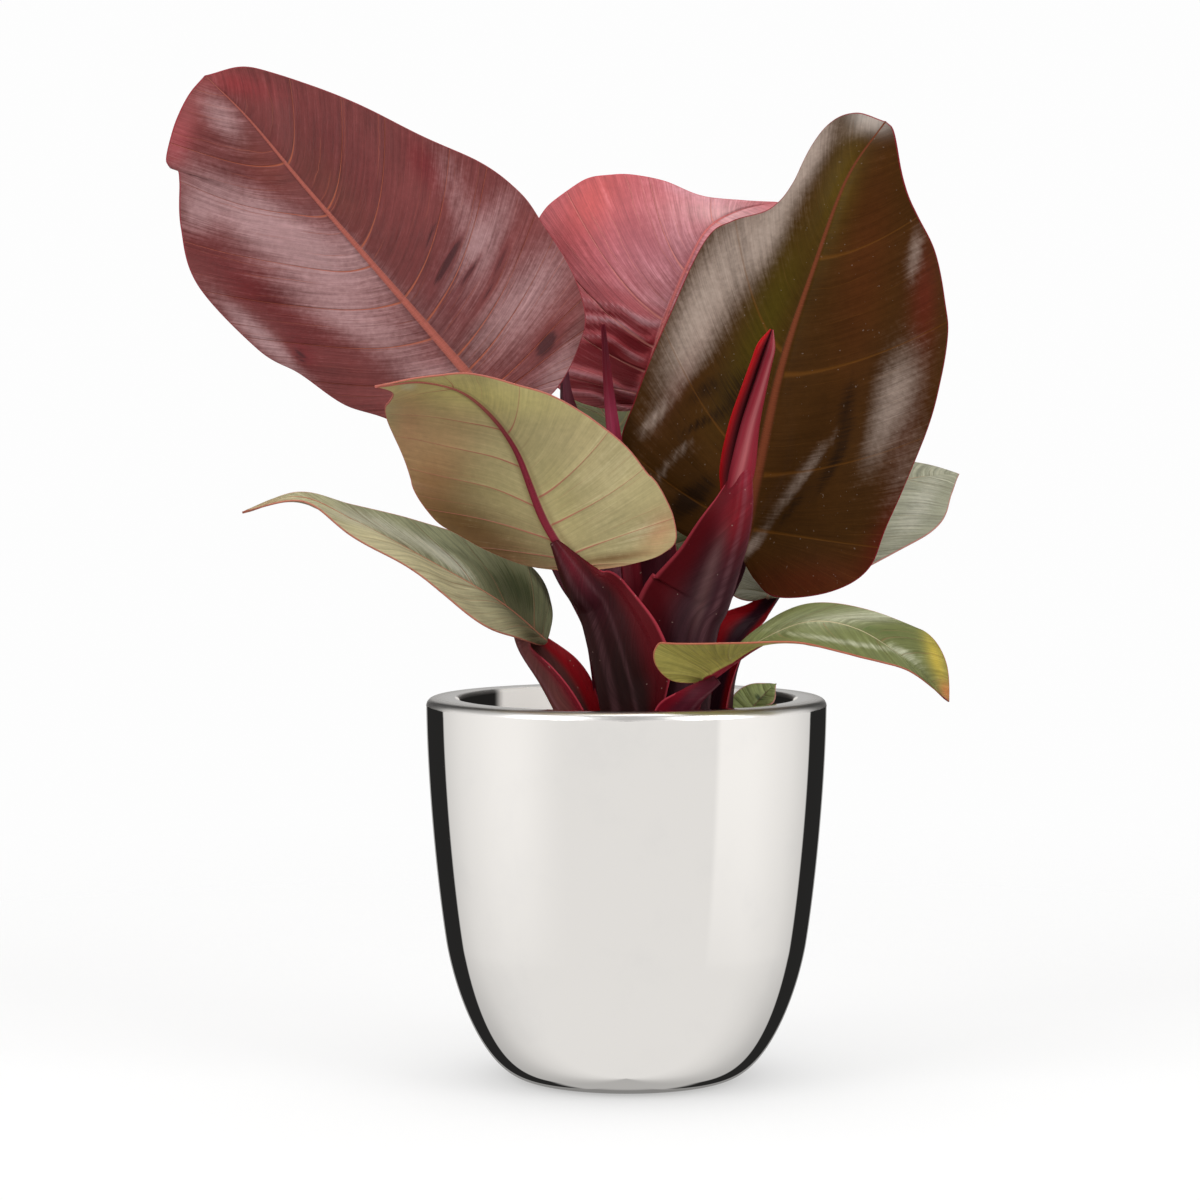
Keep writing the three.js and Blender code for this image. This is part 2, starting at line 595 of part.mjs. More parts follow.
// The triangles that fill an outline, each counterclockwise
function endTriangles(outline) {
  return THREE.ShapeUtils.triangulateShape(outline, []).map(([a, b, c]) => {
    const turn = THREE.ShapeUtils.area([outline[a], outline[b], outline[c]]);
    return turn > 0 ? [a, b, c] : [a, c, b];
  });
}

// A solid that can be joined and cut, from corner points and triangles
function solidOf(vertices, faces) {
  const vertProperties = new Float32Array(vertices.flatMap((v) => [v.x, v.y, v.z]));
  const triVerts = new Uint32Array(faces.flat());
  const mesh = new wasm.Mesh({ numProp: 3, vertProperties, triVerts });
  const solid = new wasm.Manifold(mesh);
  if (solid.volume() > 0) return solid;
  const turned = new Uint32Array(faces.flatMap(([a, b, c]) => [a, c, b]));
  return new wasm.Manifold(new wasm.Mesh({ numProp: 3, vertProperties, triVerts: turned }));
}

function solidOfGeometry(geometry) {
  const bare = geometry.clone();
  bare.deleteAttribute("normal");
  bare.deleteAttribute("uv");
  const merged = mergeVertices(bare, 1e-4);
  const position = merged.getAttribute("position");
  const vertices = [];
  for (let i = 0; i < position.count; i += 1) {
    vertices.push(new THREE.Vector3().fromBufferAttribute(position, i));
  }
  const index = Array.from(merged.getIndex().array);
  const faces = [];
  for (let i = 0; i < index.length; i += 3) {
    const corner = index.slice(i, i + 3);
    if (new Set(corner).size === 3) faces.push(corner);
  }
  return solidOf(vertices, faces);
}

// The largest piece that is left of a solid after its cuts, without the slivers that they leave
function mainPiece(solid) {
  const pieces = solid.decompose();
  const largest = pieces.reduce((best, piece) => (piece.volume() > best.volume() ? piece : best));
  return largest.simplify(SLIVER);
}

function meshOf(name, solid, colour, roughness = 0.4, metalness = 0) {
  const { vertProperties, triVerts } = solid.getMesh();
  const geometry = new THREE.BufferGeometry();
  geometry.setAttribute("position", new THREE.BufferAttribute(new Float32Array(vertProperties), 3));
  geometry.setIndex(new THREE.BufferAttribute(new Uint32Array(triVerts), 1));
  geometry.computeVertexNormals();
  const material = new THREE.MeshStandardMaterial({ color: COLOURS[colour], roughness, metalness });
  const mesh = new THREE.Mesh(geometry, material);
  mesh.name = name;
  return mesh;
}

// The inner wall of the pot, from its mouth down to the middle of its floor, drawn in by inset
function innerWall(inset) {
  const straightEnd = new THREE.Vector2(MOUTH_RADIUS - inset, INNER_STRAIGHT_END);
  const middle = new THREE.Vector2(0, FLOOR_THICKNESS + inset);
  const [[wallRadius, wallHeight], [floorRadius, floorHeight]] = INNER_BOWL;
  const bowl = new THREE.CubicBezierCurve(straightEnd, new THREE.Vector2(wallRadius - inset, wallHeight),
    new THREE.Vector2(floorRadius, floorHeight + inset), middle);
  return bowl.getPoints(6);
}

function potSolid() {
  const foot = new THREE.Vector2(FOOT_RADIUS, 0);
  const shoulder = new THREE.Vector2(SHOULDER.radius, SHOULDER.height);
  const belowRim = new THREE.Vector2(RIM_RADIUS, POT_HEIGHT - RIM_OUTER_ROUND);
  const wallCurve = (start, handles, end) => {
    const [first, second] = handles.map((handle) => new THREE.Vector2(...handle));
    return new THREE.CubicBezierCurve(start, first, second, end);
  };
  const lower = wallCurve(foot, LOWER_BOWL, shoulder);
  const upper = wallCurve(shoulder, UPPER_WALL, belowRim);
  const outerRound = new THREE.EllipseCurve(RIM_RADIUS - RIM_OUTER_ROUND, POT_HEIGHT - RIM_OUTER_ROUND,
    RIM_OUTER_ROUND, RIM_OUTER_ROUND, 0, Math.PI / 2);
  const innerRound = new THREE.EllipseCurve(MOUTH_RADIUS + RIM_INNER_ROUND, POT_HEIGHT - RIM_INNER_ROUND,
    RIM_INNER_ROUND, RIM_INNER_ROUND, Math.PI / 2, Math.PI);
  const profile = [
    new THREE.Vector2(0, 0),
    ...lower.getPoints(7),
    ...upper.getPoints(5).slice(1),
    ...outerRound.getPoints(3).slice(1),
    ...innerRound.getPoints(2),
    ...innerWall(0),
  ];
  return solidOfGeometry(latheAboutZ(profile, POT_SEGMENTS));
}

function latheAboutZ(profile, segments) {
  const geometry = new THREE.LatheGeometry(profile, segments);
  geometry.rotateX(Math.PI / 2);
  return geometry;
}

// Low mounds and hollows in the soil's top, of two sizes, fading out at the pot's wall
function soilRelief(x, y) {
  const small = Math.sin(x * 0.21 + 1.3) * Math.cos(y * 0.17 - 0.6);
  const large = 0.6 * Math.sin(x * 0.09 - y * 0.13);
  return SOIL_RELIEF * (small + large) * (1 - (Math.hypot(x, y) / MOUTH_RADIUS) ** 4);
}

function soilSolid() {
  const radius = MOUTH_RADIUS - GAP;
  const rings = [0, 0.25, 0.5, 0.75, 1];
  const profile = [
    ...rings.map((part) => new THREE.Vector2(radius * part, SOIL_TOP)),
    ...innerWall(GAP),
  ];
  const geometry = latheAboutZ(profile, SOIL_SEGMENTS);
  const position = geometry.getAttribute("position");
  for (let i = 0; i < position.count; i += 1) {
    if (Math.abs(position.getZ(i) - SOIL_TOP) > 1e-6) continue;
    position.setZ(i, SOIL_TOP + soilRelief(position.getX(i), position.getY(i)));
  }
  return solidOfGeometry(geometry);
}

function crownSolid(grow = 0) {
  const { radius, endRadius, bottom, top, taper } = CROWN;
  const profile = [
    new THREE.Vector2(0, bottom - grow),
    new THREE.Vector2(endRadius + grow, bottom - grow),
    new THREE.Vector2(radius + grow, bottom + taper),
    new THREE.Vector2(radius + grow, top - taper),
    new THREE.Vector2(endRadius + grow, top + grow),
    new THREE.Vector2(0, top + grow),
  ];
  return solidOfGeometry(latheAboutZ(profile, CROWN.segments)).translate([CROWN.x, CROWN.y, 0]);
}

const plant = new THREE.Group();
plant.add(meshOf("pot", potSolid(), "mirror", 0.05, 1));

const crown = crownSolid();
plant.add(meshOf("crown_stem", crown, "stalk"));

const blades = Object.entries(LEAVES).map(([name, leaf]) => ({ name, leaf, sheet: bladeSheet(leaf) }));
for (const { name, leaf, sheet } of blades) {
  plant.add(meshOf(`blade_${name}`, thicken(sheet), leaf.colour));
}

// Stalks give way to the crown, to the blades and to each stalk before them, by a small gap
const cutters = [crownSolid(GAP), ...blades.map(({ sheet }) => thicken(sheet, GAP))];
const stalkCutters = [];
for (const [name, stalk] of Object.entries(STALKS)) {
  let solid = stalkSolid(stalk);
  for (const cutter of [...cutters, ...stalkCutters]) solid = solid.subtract(cutter);
  solid = mainPiece(solid);
  plant.add(meshOf(name, solid, "stalk"));
  stalkCutters.push(stalkSolid(stalk, GAP));
}

let rolled = rollSolid();
for (const cutter of [...cutters, ...stalkCutters]) rolled = rolled.subtract(cutter);
plant.add(meshOf("rolled_leaf", mainPiece(rolled), "crimson"));

// The soil has a plain hole for the crown and for the foot of each stalk
let soil = soilSolid().subtract(crownSolid(GAP));
for (const cutter of stalkCutters) {
  soil = soil.subtract(cutter.trimByPlane([0, 0, -1], -HOLE_TOP).hull());
}
plant.add(meshOf("soil", mainPiece(soil), "soil", 0.9));

export default plant;
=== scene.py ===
# %% [markdown]
# # A potted cherry red philodendron
# The plant is an aroid grown for its leaves: new ones open bright red, turn maroon and end up dark
# green. It stands in a round pot with a mirror finish. The construction model is loaded first, as a
# fixed frame that nothing in this lesson moves. It says where every pot wall, stalk and blade is, and
# the lesson then puts a finer piece in the place of each of its plain solids.

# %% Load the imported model
import math

import bmesh
import bpy
import numpy as np
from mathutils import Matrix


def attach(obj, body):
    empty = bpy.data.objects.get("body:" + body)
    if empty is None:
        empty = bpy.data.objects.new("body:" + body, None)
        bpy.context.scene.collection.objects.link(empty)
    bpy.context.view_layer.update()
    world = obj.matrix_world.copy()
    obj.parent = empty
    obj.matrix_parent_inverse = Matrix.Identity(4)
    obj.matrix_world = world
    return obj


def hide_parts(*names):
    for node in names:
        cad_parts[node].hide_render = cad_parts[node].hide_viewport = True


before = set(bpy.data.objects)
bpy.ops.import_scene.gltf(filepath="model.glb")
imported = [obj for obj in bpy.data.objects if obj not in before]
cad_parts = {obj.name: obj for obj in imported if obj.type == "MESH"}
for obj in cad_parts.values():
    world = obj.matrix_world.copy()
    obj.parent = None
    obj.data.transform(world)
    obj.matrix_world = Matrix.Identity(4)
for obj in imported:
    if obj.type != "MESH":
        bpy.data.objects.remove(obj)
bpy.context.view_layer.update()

MM = 0.001

# %% [markdown]
# ## The camera
# The photograph was taken from straight ahead with a long lens, a little above the leaves' middle and
# tilted slightly down. A long lens keeps the pot's walls nearly parallel. The place and the focal
# length were fitted to the pot's rim and foot, so the pot fills the same part of the picture.

# %% Camera
CAMERA_PLACE = (-0.0112, -1.530, 0.2815)
CAMERA_TILT_DOWN = 2.93
CAMERA_LENS = 108.3
CAMERA_REACH = 50
SENSOR_WIDTH = 36

camera_data = bpy.data.cameras.new("camera")
camera_data.sensor_width = SENSOR_WIDTH
camera_data.lens = CAMERA_LENS
camera_data.clip_end = CAMERA_REACH
camera = bpy.data.objects.new("camera", camera_data)
camera.location = CAMERA_PLACE
camera.rotation_euler = (math.radians(90 - CAMERA_TILT_DOWN), 0, 0)
bpy.context.scene.collection.objects.link(camera)
bpy.context.scene.camera = camera
print("camera", CAMERA_PLACE, "lens", CAMERA_LENS, "mm")

# %% [markdown]
# ## Shader maths as Python
# A procedural material is a graph of nodes. Long graphs are hard to read when every sum and product
# is a node made by hand, so a small class wraps a socket: the expression `1 - mask` on it adds the
# Math node. Colours go through Mix nodes and vectors through Vector Math, because a Math node turns a
# colour grey. Every other node comes from one method, which takes the node's kind, its settings and
# the values of its sockets.

# %% A number in a shader
class Number:
    """A socket that carries one number. Python's arithmetic on it adds Math nodes."""

    def __init__(self, tree, socket):
        self.tree = tree
        self.socket = socket

    def math(self, operation, *others):
        """Any operation of the Math node, with this number first."""
        return self._add_node(operation, self, *others)

    def _add_node(self, operation, *values):
        node = self.tree.node("Math", {"operation": operation}, dict(enumerate(values)))
        return Number(self.tree, node.outputs[0])

    def __add__(self, other):
        return self._add_node("ADD", self, other)

    def __sub__(self, other):
        return self._add_node("SUBTRACT", self, other)

    def __rsub__(self, other):
        return self._add_node("SUBTRACT", other, self)

    def __mul__(self, other):
        return self._add_node("MULTIPLY", self, other)

    def __truediv__(self, other):
        return self._add_node("DIVIDE", self, other)

    def __pow__(self, other):
        return self._add_node("POWER", self, other)

    __radd__ = __add__
    __rmul__ = __mul__

    def above(self, low, high):
        """0 where the number is under low, 1 where it is over high, and smooth in between."""
        settings = {"interpolation_type": "SMOOTHSTEP"}
        values = {"Value": self, "From Min": low, "From Max": high}
        return Number(self.tree, self.tree.node("MapRange", settings, values).outputs[0])

    def below(self, low, high):
        """1 where the number is under low, 0 where it is over high, and smooth in between."""
        return 1 - self.above(low, high)


print("arithmetic on sockets is ready")


# %% A finish, which is a material with its nodes
def srgb(red, green, blue):
    """A colour as a painter or a screen gives it, from 0 to 255, as the light that Blender needs."""
    light = [((c / 255 + 0.055) / 1.055) ** 2.4 if c > 10 else c / 3294.6 for c in (red, green, blue)]
    return (*light, 1.0)


def rgb(colour):
    """A colour's light as three numbers, for the points of a mesh and for brightening."""
    return np.array(srgb(*colour)[:3])


class Tree:
    """A tree of nodes, and the short ways to add to it."""

    def __init__(self, tree):
        self.tree = tree

    def link(self, socket, value):
        """Gives a socket its value: a number, a colour, a vector, or what another node puts out."""
        if isinstance(value, Number):
            value = value.socket
        if isinstance(value, bpy.types.NodeSocket):
            self.tree.links.new(value, socket)
        else:
            socket.default_value = value

    def node(self, kind, settings=None, values=None):
        """Adds a node: its settings first, and then the values or links of its sockets."""
        node = self.tree.nodes.new("ShaderNode" + kind)
        for name, value in (settings or {}).items():
            setattr(node, name, value)
        for name, value in (values or {}).items():
            self.link(node.inputs[name], value)
        return node

    def split(self, vector):
        """The three numbers of a vector."""
        parts = self.node("SeparateXYZ", None, {0: vector}).outputs
        return [Number(self, part) for part in parts]

    def vector(self, x, y, z):
        return self.node("CombineXYZ", None, {"X": x, "Y": y, "Z": z}).outputs[0]

    def attribute(self, name):
        """What the mesh stores under this name at each of its points."""
        return self.node("Attribute", {"attribute_name": name}).outputs["Vector"]

    def noise(self, place, scale=1.0, detail=2.0, roughness=0.5, distortion=0.0):
        values = {"Vector": place, "Scale": scale, "Detail": detail, "Roughness": roughness,
                  "Distortion": distortion}
        return Number(self, self.node("TexNoise", None, values).outputs[0])

    def mix(self, factor, first, second):
        """The first colour where the factor is 0, and the second where it is 1."""
        mixer = self.node("Mix", {"data_type": "RGBA"})
        for index, value in ((0, factor), (6, first), (7, second)):
            self.link(mixer.inputs[index], value)
        return mixer.outputs[2]

    def brighten(self, colour, amount):
        """The colour times a number that may vary from place to place."""
        return self.node("VectorMath", {"operation": "SCALE"}, {0: colour, "Scale": amount}).outputs[0]


class Finish(Tree):
    """A material. What is the same all over it is given here, on the shader's own sockets."""

    def __init__(self, name, **constants):
        self.material = bpy.data.materials.new(name)
        self.material.use_nodes = True
        super().__init__(self.material.node_tree)
        self.shader = self.tree.nodes["Principled BSDF"]
        for socket, value in constants.items():
            self.shader.inputs[socket.replace("_", " ")].default_value = value

    def place(self):
        """Where each point lies on its object, in metres."""
        return self.node("TexCoord").outputs["Object"]

    def surface(self, colour, roughness=None, relief=None, relief_depth=0.2):
        """Feeds the shader and gives the material. The relief is a height, relief_depth mm per 1."""
        self.link(self.shader.inputs["Base Color"], colour)
        if roughness is not None:
            self.link(self.shader.inputs["Roughness"], roughness)
        if relief is not None:
            bump = self.node("Bump", None, {"Height": relief, "Distance": relief_depth * MM})
            self.link(self.shader.inputs["Normal"], bump.outputs[0])
        return self.material


print("helpers for numbers and finishes are ready")

# %% [markdown]
# ## The studio
# The plant stands on a white sweep in a white tent. What makes the pot look like a mirror is that it
# reflects something: two dark boards stand behind it to the left and right, so a dark stripe runs
# down each side of the bowl. Boards could be modelled, but the mirror needs only their directions, so
# the world itself is painted: near white for what the camera sees, and a tent with two dark stripes
# and brighter walls for what reflections see. Three soft boxes light the leaves. The floor glows
# evenly and fades into the white, and its soft shadow where the pot stands is partly real and partly
# painted into its glow.

# %% The world
BACKGROUND = 0.985
FILL_LIGHT = 0.34
TENT_LIGHT = 0.83
TENT_COLOUR = (1.0, 0.985, 0.965, 1.0)
WHITE = (1, 1, 1, 1)
# Sideways ranges are degrees from straight behind the plant, and heights run from -1, straight down,
# to 1, straight up. A pair says where a soft edge begins and ends.
BOARD = {"light": 0.02, "start": (12, 15), "end": 50, "end_edge": (-1, 1), "foot": (-0.82, -0.74),
         "taper": 20, "taper_height": (-0.75, -0.25)}
WALL = {"light": 0.14, "start": (58, 108), "left_end": (112, 148), "right_end": (124, 129),
        "right_gain": 1.15, "foot": (-0.5, -0.15), "middle": (-0.1, 0.1)}
SHADE_ABOVE = {"depth": 0.55, "height": (0.2, 0.5)}
SHADE_BELOW = {"depth": 0.2, "sideways": (50, 105), "height": (-0.55, -0.1)}
SHADE_BY_BOARD = {"depth": 0.3, "sideways": (30, 75)}
SHADE_BEHIND = {"depth": 0.18, "sideways": (11, 14), "height": (-0.9, -0.8),
                "lower_depth": 0.3, "lower": (-0.2, -0.05)}
CAMERA_STAND = {"depth": 0.8, "half_width": (0.04, 0.07), "front": (-0.2, -0.1),
                "foot": (0.04, 0.08), "top": (0.5, 0.6)}


def tent_light(sky):
    """How bright the tent is in each direction, with its walls, its dark boards and its shades."""
    x, y, z = sky.split(sky.node("TexCoord").outputs["Generated"])
    side = x.math("ABSOLUTE")
    from_back = side.math("ARCTAN2", y) * (180 / math.pi)
    past_end = from_back + BOARD["taper"] * z.below(*BOARD["taper_height"]) - BOARD["end"]
    board = from_back.above(*BOARD["start"]) * past_end.below(*BOARD["end_edge"])
    board = board * z.above(*BOARD["foot"])
    right = x.above(*WALL["middle"])
    left_wall = from_back.below(*WALL["left_end"]) * (1 - right)
    right_wall = from_back.below(*WALL["right_end"]) * WALL["right_gain"] * right
    wall = (left_wall + right_wall) * from_back.above(*WALL["start"]) * z.above(*WALL["foot"])
    below = from_back.below(*SHADE_BELOW["sideways"]) * z.below(*SHADE_BELOW["height"])
    tent = (TENT_LIGHT + WALL["light"] * wall) * (1 - SHADE_BELOW["depth"] * below)
    tent = tent * (1 - SHADE_ABOVE["depth"] * z.above(*SHADE_ABOVE["height"]))
    tent = tent * (1 - SHADE_BY_BOARD["depth"] * from_back.below(*SHADE_BY_BOARD["sideways"]))
    behind = from_back.below(*SHADE_BEHIND["sideways"]) * z.above(*SHADE_BEHIND["height"])
    lower = SHADE_BEHIND["lower_depth"] * z.below(*SHADE_BEHIND["lower"])
    tent = tent * (1 - behind * (SHADE_BEHIND["depth"] + lower))
    stand = side.below(*CAMERA_STAND["half_width"]) * y.below(*CAMERA_STAND["front"])
    stand = stand * z.above(*CAMERA_STAND["foot"]) * z.below(*CAMERA_STAND["top"])
    return tent * (1 - board) * (1 - CAMERA_STAND["depth"] * stand) + BOARD["light"] * board


def studio_world():
    """White to the camera. To reflections, a pale tent with a dark board on each side behind."""
    world = bpy.data.worlds.new("studio")
    world.use_nodes = True
    bpy.context.scene.world = world
    sky = Tree(world.node_tree)
    path = sky.node("LightPath")
    camera_ray = Number(sky, path.outputs["Is Camera Ray"])
    diffuse_ray = Number(sky, path.outputs["Is Diffuse Ray"])
    strength = tent_light(sky) * (1 - camera_ray) * (1 - diffuse_ray)
    strength = strength + BACKGROUND * camera_ray + FILL_LIGHT * diffuse_ray
    background = world.node_tree.nodes["Background"]
    sky.link(background.inputs["Color"], sky.mix(camera_ray, TENT_COLOUR, WHITE))
    sky.link(background.inputs["Strength"], strength)


studio_world()
bpy.context.scene.view_settings.view_transform = "Standard"
print("world with", len(bpy.context.scene.world.node_tree.nodes), "nodes")

# %% Soft boxes and floor
PLANT_MIDDLE = (0, 0, 0.3)
SOFT_BOXES = {
    "left box": {"place": (-1.5, -1.3, 1.35), "size": (1.2, 1.7), "power": 24},
    "right box": {"place": (1.5, -1.2, 1.2), "size": (1.1, 1.7), "power": 20},
    "top box": {"place": (0, 0.3, 2.0), "size": (1.6, 1.2), "power": 12},
}
FLOOR_FADE = (0.35, 1.0)
FLOOR_GLOW = 0.715
FLOOR_COLOUR = (148, 148, 148)
FLOOR_DROP = 0.0004
FOOT_RADIUS = 42.5
# How deep and how far out the shadow painted round the pot's foot is.
PAINTED_CONTACT_SHADOW = 0.5
PAINTED_SHADOW_REACH = 0.024


def soft_box(name, place, size, power):
    """A rectangular studio light at a place, which looks at the plant's middle."""
    data = bpy.data.lights.new(name, "AREA")
    data.shape = "RECTANGLE"
    data.size, data.size_y = size
    data.energy = power
    light = bpy.data.objects.new(name, data)
    light.location = place
    across, ahead, upward = np.array(PLANT_MIDDLE) - np.array(place)
    tilt = math.atan2(math.hypot(across, ahead), -upward)
    light.rotation_euler = (tilt, 0, math.atan2(across, -ahead) + math.pi)
    bpy.context.scene.collection.objects.link(light)


def white_floor():
    """A white floor that fades into the white behind it, with a shadow painted into its glow round the
    pot's foot. Reflections look through it, to the tent.
    """
    far = FLOOR_FADE[1]
    mesh = bpy.data.meshes.new("floor")
    mesh.from_pydata([(-far, -far, 0), (far, -far, 0), (far, far, 0), (-far, far, 0)], [], [(0, 1, 2, 3)])
    floor = bpy.data.objects.new("floor", mesh)
    bpy.context.scene.collection.objects.link(floor)
    finish = Finish("white floor", Roughness=0.9, Specular_IOR_Level=0, Emission_Strength=FLOOR_GLOW)
    x, y, _ = finish.split(finish.place())
    reach = (x * x + y * y) ** 0.5
    # A soft shadow round the pot's foot is painted into the floor's glow.
    painted_shadow = ((FOOT_RADIUS * MM - reach) / PAINTED_SHADOW_REACH).math("EXPONENT").math("MINIMUM", 1)
    glow = finish.brighten(WHITE[:3], 1 - painted_shadow * PAINTED_CONTACT_SHADOW)
    finish.link(finish.shader.inputs["Emission Color"], glow)
    finish.link(finish.shader.inputs["Alpha"], reach.below(*FLOOR_FADE))
    floor.data.materials.append(finish.surface(srgb(*FLOOR_COLOUR)))
    floor.location.z = -FLOOR_DROP
    floor.visible_glossy = False
    floor.visible_diffuse = False


for name, box in SOFT_BOXES.items():
    soft_box(name, **box)
white_floor()
print(len(SOFT_BOXES), "soft boxes and a floor")

# %% [markdown]
# ## Curves in space
# The plant is built from curves: the outline of each half leaf, the path of each midrib and stalk.
# Each is a short list of points with a smooth curve through all of them, in millimetres, the same
# curve as in the construction model. A middle line also needs to know which way its upper face looks,
# so that a blade or a stalk can be laid out to its left, to its right and above it.

# %% Curves and middle lines
def smooth_curve(points, u):
    """Points of the smooth curve through all the given ones, at each u from 0 to 1."""
    points = np.asarray(points, float)
    before = 2 * points[0] - points[1]
    after = 2 * points[-1] - points[-2]
    padded = np.concatenate([[before], points, [after]])
    place = np.clip(u, 0, 1) * (len(points) - 1)
    i = np.minimum(place.astype(int), len(points) - 2)
    t = place - i
    if points.ndim > 1:
        t = t[:, None]
    a, b, c, d = (padded[i + k] for k in range(4))
    bend = 2 * a - 5 * b + 4 * c - d
    twist = 3 * b - a - 3 * c + d
    return 0.5 * (2 * b + (c - a) * t + bend * t ** 2 + twist * t ** 3)


def keyed(values, u):
    """The value at u of the parabola through three values at 0, 1/2 and 1."""
    start, middle, end = np.asarray(values, float)
    if start.ndim:
        u = u[..., None]
    return start * (1 - u) * (1 - 2 * u) + middle * 4 * u * (1 - u) + end * u * (2 * u - 1)


def unit(vectors):
    length = np.linalg.norm(vectors, axis=-1, keepdims=True)
    return vectors / np.maximum(length, 1e-12)


def step_lengths(places):
    """How far along a row of points each of them lies."""
    steps = np.linalg.norm(np.diff(places, axis=0), axis=1)
    return np.concatenate([[0], np.cumsum(steps)])


def even_curve(points, part, samples=200):
    """The smooth curve through the points, at each part of its own length from 0 to 1."""
    u = np.linspace(0, 1, samples + 1)
    lengths = step_lengths(smooth_curve(points, u))
    wanted = np.interp(np.asarray(part) * lengths[-1], lengths, u)
    return smooth_curve(points, wanted), lengths[-1]


class MiddleLine:
    """The middle line of a midrib or stalk, with its length and its directions all along."""

    def __init__(self, points, face, samples=160):
        self.places = smooth_curve(points, np.linspace(0, 1, samples + 1))
        self.lengths = step_lengths(self.places)
        self.length = self.lengths[-1]
        self.tangents = unit(np.gradient(self.places, axis=0))
        self.face = face

    def frame(self, s):
        """Place, direction, upward and leftward at each distance s. Past the ends it runs straight."""
        s = np.asarray(s, float)
        inside = np.clip(s, 0, self.length)
        along, at = (np.stack([np.interp(inside, self.lengths, values[:, k]) for k in range(3)], axis=-1)
                     for values in (self.tangents, self.places))
        along = unit(along)
        at = at + along * (s - inside)[..., None]
        up = keyed(self.face, inside / self.length)
        up = unit(up - (up * along).sum(-1, keepdims=True) * along)
        return at, along, up, np.cross(up, along)


def smooth_step(low, high, value):
    """0 under low, 1 over high, and smooth in between."""
    part = np.clip((value - low) / (high - low), 0, 1)
    return part * part * (3 - 2 * part)


def hump(value, middle, width):
    """1 at the middle, and falling away softly within the width on both sides of it."""
    return np.exp(-((value - middle) / width) ** 2)


print("curves and middle lines are ready")

# %% Pieces from rows of points
WELDED_UNDER = 1e-7
NO_SIZE = 1e-8


def make_piece(name, points, faces, finish, node, attributes=None, colours=None):
    """A smooth mesh from points in millimetres. It rides on the plant's body in place of its node."""
    mesh = bpy.data.meshes.new(name)
    mesh.from_pydata(np.asarray(points) * MM, [], faces)
    for key, values in (attributes or {}).items():
        layer = mesh.attributes.new(key, "FLOAT_VECTOR", "POINT")
        layer.data.foreach_set("vector", np.ascontiguousarray(values, np.float32).ravel())
    for key, values in (colours or {}).items():
        layer = mesh.attributes.new(key, "FLOAT_COLOR", "POINT")
        opaque = np.ones((len(points), 4), np.float32)
        opaque[:, :3] = values[:, :3]
        layer.data.foreach_set("color", opaque.ravel())
    weld(mesh)
    mesh.shade_smooth()
    mesh.materials.append(finish)
    piece = bpy.data.objects.new(name, mesh)
    bpy.context.scene.collection.objects.link(piece)
    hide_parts(node)
    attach(piece, "root")
    return piece


def weld(mesh):
    """Joins points that lie on each other, such as a whole row that ends in one point."""
    work = bmesh.new()
    work.from_mesh(mesh)
    bmesh.ops.remove_doubles(work, verts=work.verts, dist=WELDED_UNDER)
    bmesh.ops.dissolve_degenerate(work, edges=work.edges, dist=NO_SIZE)
    bmesh.ops.recalc_face_normals(work, faces=work.faces)
    work.to_mesh(mesh)
    work.free()


def grid_faces(rows, columns, start=0, closed=False, flip=False):
    """The four-cornered faces of a grid of points, whose columns may join round into a ring."""
    across = columns if closed else columns - 1
    row, column = np.meshgrid(np.arange(rows - 1), np.arange(across), indexing="ij")
    here = start + row * columns + column
    beside = start + row * columns + (column + 1) % columns
    corners = [here, beside, beside + columns, here + columns]
    faces = np.stack([corner.ravel() for corner in corners], axis=-1)
    return (faces[:, ::-1] if flip else faces).tolist()


print("grids and pieces are ready")

# %% [markdown]
# ## The pot
# The pot is spun or cast metal, or a glazed pot with a metal coat, polished until it mirrors the
# room. It has a foot, a full lower bowl, a wall that opens a little towards the top, and a thick flat
# rim. A turned profile gives all of it: the same curves as in the construction model, but so finely
# divided that the reflections run without a kink. The finish is plain metal with almost no roughness.
# The lining inside is satin instead, near white, with painted light that stands in for its bright
# reflection and two dark reflections painted on it. A few faint smudges and a very slight
# unevenness keep it from looking computed.

# %% The pot's profile
# Sizes are in millimetres, and pairs are a radius and a height.
POT_HEIGHT = 162
RIM_RADIUS = 85
MOUTH_RADIUS = 71
SHOULDER = (76.5, 57)
RIM_OUTER_ROUND = 3.5
RIM_INNER_ROUND = 2
FLOOR_THICKNESS = 14
INNER_STRAIGHT_END = 120
LOWER_BOWL = ((59, 1), (72, 32))
UPPER_WALL = ((80.5, 82), (84.6, 125))
INNER_BOWL = ((69, 55), (52, FLOOR_THICKNESS))
FOOT_ROUND = 0.7
WALL_POINTS = 40
LINING_POINTS = 30
STRAIGHT_POINTS = 12
RIM_POINTS = 12
LIP_POINTS = 8


def bezier(start, handles, end, count):
    """Points of a curve with two handles, from its start to its end."""
    u = np.linspace(0, 1, count)[:, None]
    a, b, c, d = (np.asarray(p, float) for p in (start, *handles, end))
    return a * (1 - u) ** 3 + 3 * b * u * (1 - u) ** 2 + 3 * c * u ** 2 * (1 - u) + d * u ** 3


def arc(centre, radius, start, end, count):
    angle = np.radians(np.linspace(start, end, count))
    return np.asarray(centre) + radius * np.stack([np.cos(angle), np.sin(angle)], axis=-1)


def inner_wall(inset, count):
    """The inside of the pot, from its straight mouth down to the middle of its floor."""
    start = (MOUTH_RADIUS - inset, INNER_STRAIGHT_END)
    handles = [(INNER_BOWL[0][0] - inset, INNER_BOWL[0][1]), (INNER_BOWL[1][0], INNER_BOWL[1][1] + inset)]
    return bezier(start, handles, (0, FLOOR_THICKNESS + inset), count)


